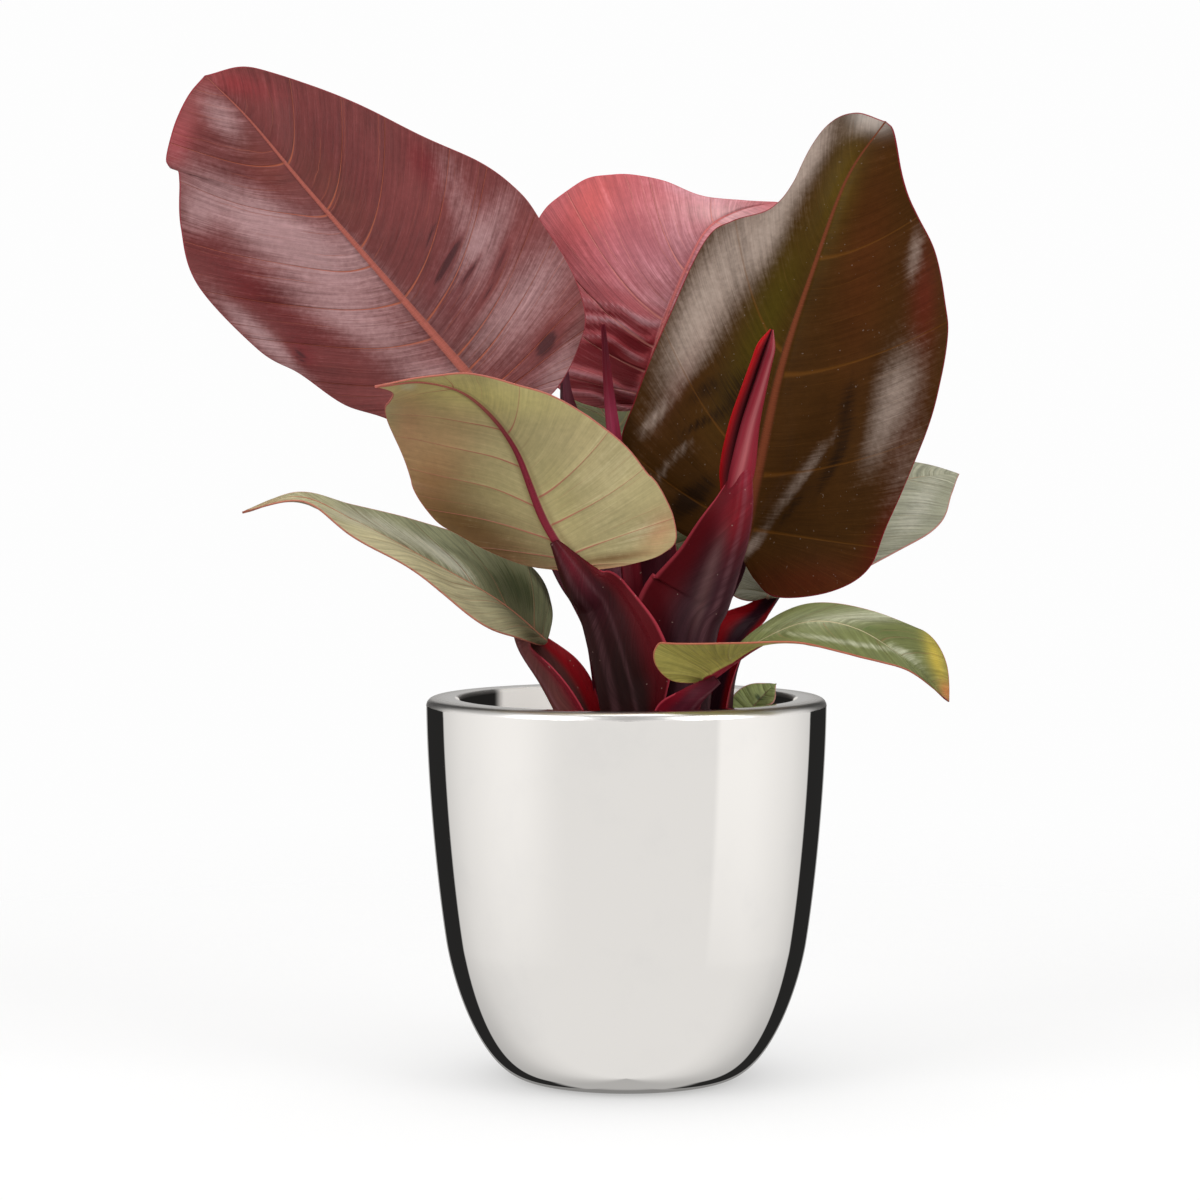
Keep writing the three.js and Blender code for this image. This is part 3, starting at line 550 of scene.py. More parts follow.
def pot_profile():
    """The outer wall from the foot up, the rim's outer edge, the flat top with its lip, the lining."""
    foot = [(0, 0), (FOOT_RADIUS - FOOT_ROUND * 1.5, 0), (FOOT_RADIUS - FOOT_ROUND, 0)]
    lower = bezier((FOOT_RADIUS, 0), LOWER_BOWL, SHOULDER, WALL_POINTS)
    upper = bezier(SHOULDER, UPPER_WALL, (RIM_RADIUS, POT_HEIGHT - RIM_OUTER_ROUND), WALL_POINTS)
    rim_centre = (RIM_RADIUS - RIM_OUTER_ROUND, POT_HEIGHT - RIM_OUTER_ROUND)
    lip_centre = (MOUTH_RADIUS + RIM_INNER_ROUND, POT_HEIGHT - RIM_INNER_ROUND)
    lip_end = (MOUTH_RADIUS, POT_HEIGHT - RIM_INNER_ROUND)
    straight = np.linspace(lip_end, (MOUTH_RADIUS, INNER_STRAIGHT_END), STRAIGHT_POINTS)
    wall = np.concatenate([foot, lower[1:], upper[1:]])
    edge = arc(rim_centre, RIM_OUTER_ROUND, 0, 90, RIM_POINTS)[1:]
    lip = arc(lip_centre, RIM_INNER_ROUND, 90, 180, LIP_POINTS)
    lining = np.concatenate([straight[1:], inner_wall(0, LINING_POINTS)[1:]])
    return wall, edge, lip, lining


print("pot profile with", sum(len(part) for part in pot_profile()), "points")

# %% Pot
POT_SEGMENTS = 192
SILVER = (0.90, 0.885, 0.865, 1)
SMUDGED_SILVER = (0.84, 0.83, 0.82, 1)
# The lining's colour, the strength of its painted light, and its two painted dark reflections.
LINING_COLOUR = (236, 233, 228)
LINING_PAINTED_LIGHT = 0.65
PAINTED_REFLECTION_COLOUR = (34, 33, 32)
PAINTED_REFLECTION_START = (48, 54)
PAINTED_REFLECTION_END = (86, 90)


def turned(profile, segments):
    """The points and faces of a profile of radius and height, turned about the upright axis."""
    angle = np.linspace(0, 2 * math.pi, segments, endpoint=False)
    radius, height = profile[:, :1], profile[:, 1:]
    points = np.stack([radius * np.cos(angle), radius * np.sin(angle), height + 0 * angle], axis=-1)
    return points.reshape(-1, 3), grid_faces(len(profile), segments, closed=True)


def mirror_finish():
    """Polished metal with faint smudges. The lining is satin, not metal: it glows with painted light
    that stands in for its bright reflection, and a dark reflection is painted on each side of it."""
    finish = Finish("polished silver", Emission_Strength=LINING_PAINTED_LIGHT, Specular_IOR_Level=0)
    place = finish.place()
    smudge = finish.noise(place, 28, 4, 0.6).above(0.5, 0.8)
    dust = finish.noise(place, 900, 1).above(0.72, 0.8)
    uneven = finish.noise(place, 14, 1)
    x, y, _ = finish.split(place)
    inside, edge, _ = finish.split(finish.attribute("parts"))
    from_back = x.math("ABSOLUTE").math("ARCTAN2", y) * (180 / math.pi)
    painted_reflection = from_back.above(*PAINTED_REFLECTION_START) * from_back.below(*PAINTED_REFLECTION_END)
    lining = finish.mix(painted_reflection, srgb(*LINING_COLOUR), srgb(*PAINTED_REFLECTION_COLOUR))
    finish.link(finish.shader.inputs["Metallic"], 1 - inside)
    # The lining glows with painted light, in its colour with the painted reflections.
    finish.link(finish.shader.inputs["Emission Color"], finish.brighten(lining, inside))
    colour = finish.mix(inside, finish.mix(smudge * 0.5, SILVER, SMUDGED_SILVER), lining)
    roughness = 0.018 + 0.03 * smudge + 0.1 * dust + 0.3 * inside + 0.3 * edge
    return finish.surface(colour, roughness, uneven, 0.035)


def build_pot():
    wall, edge, lip, lining = pot_profile()
    points, faces = turned(np.concatenate([wall, edge, lip, lining]), POT_SEGMENTS)
    outside = np.zeros(len(wall) + len(edge))
    inside = np.concatenate([outside, np.linspace(0, 1, len(lip)) ** 0.5, np.ones(len(lining))])
    on_edge = np.concatenate([np.zeros(len(wall)), np.ones(len(edge)), np.zeros(len(lip) + len(lining))])
    parts = np.repeat(np.stack([inside, on_edge, 0 * on_edge], axis=-1), POT_SEGMENTS, axis=0)
    return make_piece("pot_mirror", points, faces, mirror_finish(), "pot", {"parts": parts})


pot = build_pot()
print("pot", [round(v * 1000) for v in pot.dimensions], "mm")

# %% [markdown]
# ## The soil
# Potting mix for such a plant is coarse: dark peat with crumbs of bark. It lies 16 mm under the rim,
# so it shows only from above. The surface is a turned sheet with the same low mounds as the
# construction model. Crumbs and chips are strewn over it as small faceted lumps, and all of it is
# one mesh, with a colour for each crumb in its points.

# %% Soil
SOIL_TOP = 146
SOIL_RELIEF = 1.6
SOIL_SEGMENTS = 96
SOIL_RINGS = 30
SOIL_WALL_POINTS = 16
SOIL_UNEVENNESS = 0.5
GAP = 0.35
CRUMB = {"count": 1300, "size": (0.5, 1.6), "flatness": 0.8, "colour": srgb(44, 32, 25)}
BARK_CHIP = {"count": 150, "size": (1.6, 3.6), "flatness": 0.45, "colour": srgb(96, 66, 44)}
LUMP_SHADES = (0.5, 1.5)
LUMP_FACES = [(0, 1, 3, 2), (4, 6, 7, 5), (0, 4, 5, 1), (2, 3, 7, 6), (0, 2, 6, 4), (1, 5, 7, 3)]


def soil_relief(x, y):
    """Low mounds and hollows of two sizes that fade out at the pot's wall."""
    small = np.sin(x * 0.21 + 1.3) * np.cos(y * 0.17 - 0.6)
    large = 0.6 * np.sin(x * 0.09 - y * 0.13)
    return SOIL_RELIEF * (small + large) * (1 - (np.hypot(x, y) / MOUTH_RADIUS) ** 4)


def lump(generator, size, flatness):
    """An irregular lump: the eight corners of a box, moved out onto a ball and about, and turned."""
    corners = np.array([[x, y, z] for x in (-1, 1) for y in (-1, 1) for z in (-1, 1)], float)
    corners = unit(corners) * size * generator.uniform(0.65, 1.25, (8, 1))
    corners += generator.normal(0, size * 0.12, (8, 3))
    corners[:, 2] *= flatness
    turn = generator.uniform(0, 2 * math.pi)
    cosine, sine = math.cos(turn), math.sin(turn)
    return corners @ np.array([[cosine, sine, 0], [-sine, cosine, 0], [0, 0, 1]])


def soil_finish():
    finish = Finish("potting mix", Roughness=0.92)
    grain = finish.noise(finish.place(), 900, 4, 0.65)
    colour = finish.brighten(finish.attribute("tint"), 0.55 + 0.9 * grain)
    return finish.surface(colour, relief=grain, relief_depth=0.8)


def soil_body(generator, radius):
    """The turned body of the soil, with mounds and a little unevenness on its top."""
    rings = np.stack([np.linspace(0, radius, SOIL_RINGS), np.full(SOIL_RINGS, float(SOIL_TOP))], axis=-1)
    points, faces = turned(np.concatenate([rings, inner_wall(GAP, SOIL_WALL_POINTS)]), SOIL_SEGMENTS)
    top = points[:SOIL_RINGS * SOIL_SEGMENTS]
    top[:, 2] += soil_relief(top[:, 0], top[:, 1])
    off_wall = np.hypot(top[:, 0], top[:, 1]) < radius - 1
    top[:, 2] += generator.uniform(-SOIL_UNEVENNESS, SOIL_UNEVENNESS, len(top)) * off_wall
    return points, faces


def build_soil():
    grain = np.random.default_rng(5)
    radius = MOUTH_RADIUS - GAP
    body, faces = soil_body(grain, radius)
    points = [body]
    colours = [np.tile(CRUMB["colour"], (len(body), 1))]
    count = len(body)
    for kind in [CRUMB] * CRUMB["count"] + [BARK_CHIP] * BARK_CHIP["count"]:
        size = grain.uniform(*kind["size"])
        corners = lump(grain, size, kind["flatness"])
        reach = (radius - size * 1.5) * math.sqrt(grain.uniform())
        turn = grain.uniform(0, 2 * math.pi)
        x, y = reach * math.cos(turn), reach * math.sin(turn)
        corners += (x, y, SOIL_TOP + soil_relief(x, y) + 0.2 * size)
        shade = np.array(kind["colour"]) * grain.uniform(*LUMP_SHADES)
        points.append(corners)
        colours.append(np.tile(shade, (len(corners), 1)))
        faces += [tuple(count + i for i in face) for face in LUMP_FACES]
        count += len(corners)
    return make_piece("soil_surface", np.concatenate(points), faces, soil_finish(), "soil",
                      colours={"tint": np.concatenate(colours)})


soil = build_soil()
lumps = CRUMB["count"] + BARK_CHIP["count"]
print("soil", [round(v * 1000) for v in soil.dimensions], "mm, with", lumps, "crumbs and chips")

# %% [markdown]
# ## The leaves
# A blade is a thin sheet on both sides of a thick midrib. Its shape is given as a gardener would
# press it: the outline of each half lying flat, and then how the midrib runs through the air, which
# way the upper face looks, and how each half folds up from the rib and curls over. The rows of the
# mesh run from the rib to the margin as the side veins do, so veins, streaks and creases follow the
# mesh and stay sharp. `left` and `right` are seen from the upper face with the tip up.

# %% Shape of each leaf, in millimetres
# `rib` and `face` are places of the midrib and where its upper side looks, from the base to the tip.
# A margin is a row of places along the midrib and out from it. `fold` and `curl` are degrees at the
# base, the middle and the tip, for the left and the right half. A crease has its place along and out,
# half its length, its height, its turn in degrees, and its half, which is 0 for the left one.
LEAVES = {
    "left_large": {
        "rib": [[-54, 5, 283], [-95, 22, 330], [-137, 38, 378], [-163, 44, 409], [-182, 44, 428]],
        "face": [[0, -0.97, 0.2], [0.05, -0.95, 0.3], [0.1, -0.95, 0.3]],
        "half_width": 66,
        "left": [[0, 0], [-8, 11], [-7, 23], [1, 32], [26, 38], [45, 49], [68, 55], [88, 62], [127, 64],
          [151, 54], [169, 42], [176, 39], [184, 40], [192, 28], [197.5, 12], [199, 0]],
        "right": [[0, 0], [-8, 12], [-8, 26], [-1, 42], [9, 55], [30, 65], [57, 71], [76, 74], [99, 69],
          [132, 52], [160, 37], [180, 23], [191, 14], [199, 0]],
        "fold": ([8, 8, 5], [3, 0, 0]),
        "curl": ([-20, -20, -10], [-15, -15, -10]),
    },
    "right_large": {
        "rib": [[48, 0, 223], [56, 4, 259], [66, 12, 302], [80, 22, 344], [95, 30, 383], [112, 32, 408]],
        "face": [[-0.1, -0.97, 0.2], [-0.1, -0.95, 0.27], [-0.1, -0.95, 0.3]],
        "half_width": 66,
        "left": [[0, 0], [-1, 8], [3, 26], [13, 46], [34, 59], [56, 57.5], [92, 52.5], [128, 50], [139, 41],
          [148, 27], [162, 22], [185, 23], [196, 14], [200, 0]],
        "right": [[0, 0], [-10, 9], [-15, 20], [-8, 41], [5, 55], [26, 59], [67, 67], [98, 67], [120, 64],
          [133, 58], [153, 47], [167, 35], [183, 22], [198, 6], [200, 0]],
        "fold": ([8, 8, 0], [3, 3, 5]),
        "curl": ([-20, -20, -110], [-20, -20, -30]),
        "creases": ((30, 13, 26, 1.4, 18, 1), (43, 50, 10, 1.2, 60, 0), (40, 31, 12, 1.2, 40, 0),
                    (24, 40, 14, -1.0, 60, 0)),
    },
    "front_left": {
        "rib": [[-21, -40, 217], [-34, -44, 238], [-46, -52, 269], [-63, -66, 289], [-81, -84, 295],
          [-100, -98, 293]],
        "face": [[0.15, 0.85, 0.45], [0.3, 0.7, 0.65], [0.3, 0.5, 0.8]],
        "half_width": 46,
        "sweep": (1.5, 0.8),
        "left": [[0, 0], [-4, 9], [-9, 22], [-12, 35], [-8, 44], [14, 49], [42, 45], [61, 34], [75, 27],
          [88, 19], [104, 12], [117, 5], [130, 1.5], [140, 0]],
        "right": [[0, 0], [4, 6], [10, 14], [19, 25], [29, 38], [38, 47], [57, 52], [84, 46], [104, 36],
          [120, 22], [128, 8], [140, 0]],
        "fold": ([5, 5, 5], [-5, -5, -5]),
        "curl": ([25, 20, 20], [0, 0, 0]),
        "swell": 0.2,
    },
    "back_centre": {
        "rib": [[7, 46, 285], [15, 52, 317], [28, 58, 349], [37, 64, 364], [51, 74, 372], [68, 84, 376]],
        "face": [[-0.1, -0.97, 0.2], [-0.1, -0.9, 0.35], [-0.1, -0.85, 0.5]],
        "half_width": 60,
        "left": [[0, 0], [-4, 9], [-4, 29], [5, 45], [25, 60], [45, 68], [66, 69], [79, 61], [84, 49],
          [90, 31], [96, 15], [109, 5], [127, 0]],
        "right": [[0, 0], [-6, 12], [-6, 30], [10, 48], [40, 55], [70, 50], [95, 34], [112, 16], [127, 0]],
        "fold": ([10, 10, 5], [15, 15, 5]),
        "curl": ([-10, -10, -20], [-20, -20, -20]),
        "folds": (-6, 52, 9.5), "fold_depth": 0.8,
    },
    "lower_left": {
        "rib": [[-34, -8, 186], [-53, -20, 203], [-82, -35, 221], [-112, -48, 238], [-134, -55, 248],
          [-157, -58, 242]],
        "face": [[0.2, -0.45, 0.85], [0.2, -0.4, 0.9], [-0.1, -0.3, 0.95]],
        "half_width": 38,
        "sweep": (0.9, 1.5),
        "left": [[0, 0], [4, 7], [19, 19], [40, 28], [62, 25], [85, 20], [105, 17], [122, 12], [138, 4],
          [152, 0]],
        "right": [[0, 0], [-2, 10], [-2, 22], [4, 32], [14, 35], [30, 32], [63, 27], [82, 24], [101, 19],
          [120, 12], [138, 5], [152, 0]],
        "fold": ([0, 2, 5], [8, 6, -12]),
        "curl": ([-5, -5, -20], [10, 5, -50]),
    },
    "front_right": {
        "rib": [[31, -50, 172], [53, -56, 188], [74, -62, 197], [94, -66, 194], [114, -68, 181],
          [131, -62, 165]],
        "face": [[-0.1, 0.5, 0.85], [0.1, -0.38, 0.92], [0.4, -0.8, 0.5]],
        "half_width": 30,
        "left": [[0, 0], [-5, 7], [-6, 16], [2, 24], [20, 27], [66, 25], [91, 26], [102, 25], [111, 17],
          [121, 0]],
        "right": [[0, 0], [-5, 5], [-9, 13], [-8, 24], [-2, 31], [10, 32], [40, 29], [58, 24], [76, 14],
          [88, 8], [100, 3], [121, 0]],
        "fold": ([45, 0, 5], [10, 0, 5]),
        "curl": ([-10, -10, -20], [10, -10, -20]),
    },
    "back_right": {
        "rib": [[61, 25, 203], [89, 45, 231], [119, 68, 251], [150, 92, 255]],
        "face": [[-0.3, -0.7, 0.6], [-0.2, -0.7, 0.6], [0.1, -0.5, 0.85]],
        "half_width": 34,
        "sweep": (1.5, 0.9),
        "left": [[0, 0], [-6, 6], [-6, 16], [4, 26], [25, 31], [55, 31], [85, 25], [106, 15], [117, 10],
          [127, 0]],
        "right": [[0, 0], [4, 8], [14, 18], [32, 28], [59, 34], [77, 34], [94, 28], [110, 15], [121, 5],
          [127, 0]],
        "fold": ([5, 5, 5], [5, 5, 5]),
        "curl": ([-10, -10, -20], [-10, -10, -20]),
    },
    "back": {
        "rib": [[22, 48, 218], [12, 75, 242], [1, 102, 266], [-11, 128, 284], [-22, 150, 296]],
        "face": [[0.1, -0.66, 0.75], [0.1, -0.64, 0.77], [0.1, -0.5, 0.85]],
        "half_width": 38,
        "sweep": (0.9, 1.5),
        "left": [[0, 0], [2, 10], [10, 22], [35, 34], [70, 36], [100, 24], [122, 9], [136, 0]],
        "right": [[0, 0], [-6, 8], [-6, 22], [8, 33], [40, 37], [75, 34], [105, 20], [124, 7], [136, 0]],
        "fold": ([9, 7, 5], [9, 7, 5]),
        "curl": ([-10, -10, -20], [-10, -10, -20]),
    },
    "small": {
        "rib": [[51, 13, 152], [58, 18, 160], [65, 23, 166]],
        "face": [[0, -0.5, 0.85], [0.1, -0.6, 0.8], [0.3, -0.6, 0.7]],
        "half_width": 10,
        "left": [[0, 0], [-3, 4], [0, 8], [6, 10], [13, 8], [19, 3], [21, 0]],
        "right": [[0, 0], [-3, 4], [0, 8], [6, 10], [8, 6], [11, 8], [16, 5], [21, 0]],
        "fold": ([15, 10, 5], [15, 10, 5]),
        "curl": ([10, 10, 10], [30, 30, 10]),
    },
}
print("leaf shapes:", ", ".join(LEAVES))

# %% [markdown]
# ## What each leaf looks like
# No two leaves have the same colour, because each is of a different age, and one shows its pale
# underside. Each has a colour for its upper face and its underside, broad spots where that colour
# shifts, some of which are painted light and painted shade, spots of a pale grey painted sheen where
# the waxy surface catches the light, and spots of painted shade. A spot is placed by where it lies in
# the 1200 by 1200 picture. It is stored in the points of the mesh, so it stays on the leaf in every
# other view.

# %% Colours of each leaf
# What a leaf has where its own look doesn't say otherwise. `veins` is for the left and right half.
PLAIN_LEAF = {
    "slot": "green_leaf", "veins": (6, 6), "vein_strength": 0.85, "vein_width": 1, "fine_veins": 0.4,
    "rib_core": 0.85, "rib_above_width": 1, "rib_shadow": 0.2, "streaks": 1.0, "feather": 1.0,
    "grain": 0.4, "specks": 0, "shine": 0.2, "relief": 0.3, "tints_and_painted_light": (), "painted_sheen": (), "shade": (),
}
# A spot: across and down in the picture, half its length and width, its turn in degrees
# anticlockwise, its strength, and for a spot of colour also the colour. Spots of painted sheen and
# painted shade stand for light and shade, and so do some spots of colour, as marked.
LOOKS = {
    "left_large": {
        "slot": "maroon_leaf", "upper": (115, 54, 53), "under": (140, 75, 80),
        "vein": (172, 90, 64), "rib": (164, 88, 76), "edge": (150, 40, 52),
        "painted_sheen_colour": (177, 140, 141), "shade_colour": (58, 20, 24),
        "veins": (9, 10), "rib_width": 2.7, "vein_strength": 0.85, "streaks": 0.65, "feather": 0.6,
        "relief": 0.5,
        "tints_and_painted_light": (
            (235, 84, 46, 12, -12, 0.6, (150, 50, 54)), (176, 140, 34, 13, 78, 0.7, (166, 66, 74)),
            # The two deep red bands on this line are partly the leaf's colour and partly painted shade of
            # its waves.
            (256, 290, 80, 18, -38, 0.95, (100, 24, 26)), (303, 353, 22, 9, -60, 0.7, (108, 26, 32)),
            (424, 165, 30, 13, -60, 0.7, (112, 26, 32)), (345, 180, 70, 26, -62, 0.8, (102, 42, 42)),
            (455, 280, 60, 26, 58, 0.5, (96, 50, 54)), (262, 165, 40, 14, -45, 0.5, (112, 56, 46)),
            (545, 395, 40, 24, 50, 0.5, (132, 92, 98)), (330, 190, 60, 22, -48, 0.5, (100, 54, 44)),
            (480, 338, 50, 14, 52, 0.75, (86, 46, 44)), (584, 322, 36, 10, 62, 0.5, (98, 58, 54)),
            (190, 110, 50, 14, 60, 0.5, (158, 88, 88)),
            (400, 300, 60, 24, -48, 0.45, (96, 50, 48)), (415, 380, 50, 18, -30, 0.5, (92, 44, 44)),
        ),
        "painted_sheen": (
            (286, 238, 120, 27, -32, 1.35), (352, 322, 95, 22, -30, 0.85), (222, 118, 32, 16, -50, 0.9),
            (525, 300, 80, 34, 52, 0.85), (456, 196, 66, 16, -72, 0.5), (262, 338, 66, 11, -42, 1.1),
            (445, 388, 44, 16, -15, 0.8), (562, 372, 44, 20, 60, 0.8), (196, 215, 22, 20, 70, 0.7),
            (468, 258, 50, 26, 60, 0.4), (496, 222, 50, 18, 62, 0.5), (352, 250, 40, 10, -48, 0.35),
        ),
        "shade": (
            (547, 344, 17, 8, 55, 1.1), (452, 256, 30, 4, 62, 0.75), (430, 236, 30, 3, 66, 0.7),
            (470, 272, 24, 3, 58, 0.75), (442, 270, 22, 2.5, 62, 0.6), (412, 246, 24, 3, 70, 0.5),
            (500, 262, 28, 4, 66, 0.55), (486, 296, 24, 3, 56, 0.55), (590, 290, 60, 7, -75, 0.5),
            (300, 355, 14, 6, -60, 0.7),
        ),
    },
    "right_large": {
        "slot": "dark_leaf", "upper": (66, 40, 13), "under": (110, 80, 70), "shine": 0.04,
        "vein": (116, 72, 24), "rib": (112, 58, 36), "edge": (140, 30, 45),
        "painted_sheen_colour": (178, 160, 148), "shade_colour": (30, 18, 10), "specks": 0.2,
        "veins": ((0.28, 0.47, 0.69), (0.27, 0.45, 0.655, 0.83)), "vein_width": 2.6, "vein_strength": 0.5,
        "rib_width": 3.7, "rib_core": 0.45, "rib_shadow": 0, "fine_veins": 0.15,
        "streaks": 0.4, "feather": 0.35, "grain": 0.35, "relief": 0.16,
        "tints_and_painted_light": (
            (768, 318, 95, 22, 66, 0.9, (74, 62, 14)), (842, 185, 60, 18, 72, 0.7, (96, 78, 26)),
            (866, 262, 110, 26, 82, 0.85, (80, 42, 16)), (924, 300, 60, 14, 88, 0.6, (104, 34, 24)),
            (905, 430, 60, 22, 80, 0.6, (80, 36, 16)), (800, 586, 80, 24, 5, 0.8, (84, 34, 16)),
            (884, 540, 55, 14, 65, 0.8, (88, 28, 18)), (688, 362, 52, 8, 64, 0.7, (104, 62, 52)),
            # The first spot on this line, pale grey at the tip, is a painted highlight.
            (872, 119, 20, 12, -10, 0.8, (206, 196, 188)), (886, 111, 7, 5, 0, 0.9, (176, 40, 56)),
        ),
        "painted_sheen": (
            (724, 268, 110, 30, 62, 0.85), (790, 190, 60, 14, 62, 0.35), (690, 345, 70, 22, 68, 0.5),
            (812, 150, 52, 15, 60, 0.9), (872, 122, 30, 9, 30, 0.7), (915, 255, 30, 8, 82, 0.65),
            (896, 394, 54, 24, 72, 0.8), (905, 470, 50, 14, 66, 0.35), (802, 480, 62, 8, 55, 0.75),
            (752, 546, 24, 7, 45, 0.6), (706, 409, 18, 3, 20, 0.6), (684, 446, 18, 4, 50, 0.6),
            (655, 418, 22, 5, 50, 0.7), (662, 474, 16, 4, 60, 0.5), (716, 472, 28, 4, 60, 0.45),
            (700, 448, 24, 8, 35, 0.25), (838, 430, 22, 5, 75, 0.4), (766, 244, 44, 15, 62, 0.5),
            (874, 450, 36, 14, 70, 0.3),
        ),
        "shade": (
            (738, 398, 52, 24, 60, 0.65), (690, 500, 42, 18, 40, 0.8), (846, 410, 55, 14, 78, 0.6),
            (700, 392, 34, 12, 40, 0.55), (822, 400, 34, 10, 80, 0.4),
            (868, 285, 80, 8, 80, 0.3), (770, 590, 30, 10, 0, 0.4), (692, 428, 28, 6, 30, 0.6),
            (790, 510, 50, 7, 55, 0.6), (825, 480, 50, 8, 60, 0.5),
        ),
    },
    "front_left": {
        "slot": "khaki_leaf", "upper": (150, 150, 96), "under": (202, 188, 138),
        "vein": (192, 108, 96), "rib": (134, 36, 54), "edge": (200, 96, 92),
        "painted_sheen_colour": (222, 212, 172), "shade_colour": (122, 96, 56),
        "veins": (6, 7), "rib_width": 2.3, "streaks": 0.28, "fine_veins": 0.25, "vein_strength": 0.9,
        "relief": 0.12, "rib_shadow": 0.45, "rib_fade": (0.4, 0.75),
        "tints_and_painted_light": (
            (428, 490, 64, 34, 72, 0.75, (168, 114, 80)), (408, 425, 52, 18, 80, 0.65, (200, 144, 112)),
            (430, 440, 70, 44, 62, 0.45, (204, 156, 116)), (586, 440, 60, 30, -50, 0.35, (216, 196, 146)),
            # The two dark brown spots on this line, by the lower margin, are partly colour and partly
            # painted shade.
            (466, 526, 100, 34, -27, 0.95, (98, 68, 32)), (500, 562, 74, 22, -18, 0.9, (106, 70, 42)),
            # The first spot on this line, pale over the top of the blade, is painted light on a part that
            # faces down.
            (482, 392, 84, 20, -8, 0.85, (238, 224, 146)), (612, 558, 50, 5, 8, 0.85, (128, 92, 54)),
            (600, 568, 50, 4, 4, 0.6, (190, 120, 92)),
            (660, 530, 24, 15, 50, 0.65, (206, 146, 108)), (560, 500, 60, 20, -62, 0.35, (176, 164, 104)),
        ),
        "painted_sheen": ((610, 470, 60, 30, 60, 0.35), (640, 532, 30, 10, 30, 0.6), (408, 386, 9, 4, 0, 1.3)),
        "shade": ((440, 500, 40, 8, -60, 0.3),),
    },
    "back_centre": {
        "slot": "coral_leaf", "upper": (198, 104, 110), "under": (170, 80, 84),
        "vein": (232, 148, 138), "rib": (208, 112, 110), "edge": (200, 74, 86),
        "painted_sheen_colour": (222, 164, 172), "shade_colour": (128, 12, 26),
        "veins": (7, 7), "rib_width": 1.6, "streaks": 0.6, "relief": 0.6,
        "tints_and_painted_light": (
            (588, 205, 56, 26, 60, 0.85, (206, 96, 94)), (592, 262, 40, 12, -60, 0.6, (188, 78, 82)),
            (662, 258, 72, 34, 0, 0.75, (174, 106, 116)), (725, 215, 52, 16, -8, 0.85, (224, 172, 174)),
            (632, 346, 62, 18, -4, 0.95, (168, 36, 48)), (642, 374, 52, 14, 0, 0.9, (222, 92, 100)),
            (645, 396, 42, 10, 0, 0.7, (186, 92, 104)),
            (556, 258, 30, 16, 62, 0.6, (150, 58, 64)),
        ),
        "painted_sheen": (
            (664, 285, 62, 24, -15, 0.5), (640, 322, 52, 8, -6, 0.7), (700, 192, 44, 12, -15, 1.0),
            (684, 236, 46, 26, -30, 0.6), (668, 306, 34, 12, -12, 0.5),
        ),
        "shade": ((640, 345, 60, 7, -4, 0.5), (650, 368, 50, 6, -2, 0.5)),
    },
    "lower_left": {
        "upper": (198, 190, 152), "upper_right": (146, 148, 114),
        "under": (196, 186, 146),
        "vein": (160, 118, 88), "rib": (190, 124, 100), "edge": (200, 116, 98),
        "painted_sheen_colour": (186, 184, 164), "shade_colour": (56, 64, 34),
        "rib_width": 0.9, "streaks": 0.9,
        "tints_and_painted_light": (
            (512, 594, 56, 34, -50, 0.8, (78, 78, 46)), (534, 640, 30, 12, -40, 0.85, (88, 80, 50)),
            (318, 508, 44, 20, -25, 0.95, (176, 172, 134)),
            (262, 503, 26, 12, 0, 0.85, (176, 150, 112)), (240, 511, 10, 6, 0, 0.9, (150, 84, 62)),
        ),
        "painted_sheen": ((410, 540, 62, 9, -28, 0.9), (452, 564, 30, 5, -40, 1.0), (350, 518, 40, 8, -18, 0.6)),
        "shade": ((516, 588, 40, 20, -50, 0.7), (452, 550, 40, 4, -34, 0.5)),
    },
    "front_right": {
        "upper": (112, 118, 70), "under": (196, 186, 100),
        "vein": (150, 112, 78), "rib": (150, 30, 50), "rib_above": (190, 176, 140), "edge": (202, 104, 88),
        "painted_sheen_colour": (206, 206, 180), "shade_colour": (88, 104, 54),
        "rib_width": 2.4, "rib_above_width": 0.3, "rib_shadow": 0, "fine_veins": 0.35,
        "vein_strength": 0.4, "streaks": 0.7,
        "tints_and_painted_light": (
            (936, 660, 30, 8, -72, 0.9, (200, 176, 70)), (946, 692, 10, 6, -72, 0.9, (200, 124, 70)),
            (860, 616, 62, 8, 6, 0.7, (170, 172, 140)),
        ),
        "painted_sheen": ((862, 618, 62, 6, 3, 0.7), (840, 642, 70, 3, -9, 0.7), (905, 655, 24, 5, -35, 0.6)),
        "shade": ((830, 655, 60, 6, -6, 0.6), (880, 632, 40, 6, -8, 0.6)),
    },
    "back_right": {
        "upper": (164, 164, 140), "under": (150, 152, 124),
        "vein": (190, 180, 150), "rib": (186, 156, 130), "edge": (200, 130, 120),
        "painted_sheen_colour": (200, 198, 180), "shade_colour": (116, 120, 92),
        "rib_width": 0.9,
        "painted_sheen": ((920, 505, 50, 14, 60, 0.8),), "shade": ((905, 560, 40, 10, 50, 0.6),),
    },
    "back": {
        "upper": (108, 112, 66), "under": (120, 124, 80),
        "vein": (150, 120, 84), "rib": (150, 90, 70), "edge": (160, 84, 74),
        "painted_sheen_colour": (150, 150, 112), "shade_colour": (64, 68, 36),
        "rib_width": 1.1,
        "tints_and_painted_light": ((600, 420, 40, 20, 0, 0.6, (86, 86, 46)),),
    },
    "small": {
        "upper": (152, 164, 104), "under": (150, 160, 104),
        "vein": (120, 120, 80), "rib": (150, 110, 90), "edge": (212, 150, 140),
        "painted_sheen_colour": (150, 164, 120), "shade_colour": (40, 58, 28),
        "veins": (4, 4), "rib_width": 0.5,
        "shade": ((760, 698, 12, 6, 0, 0.6),),
    },
}
print("looks for", len(LOOKS), "leaves")

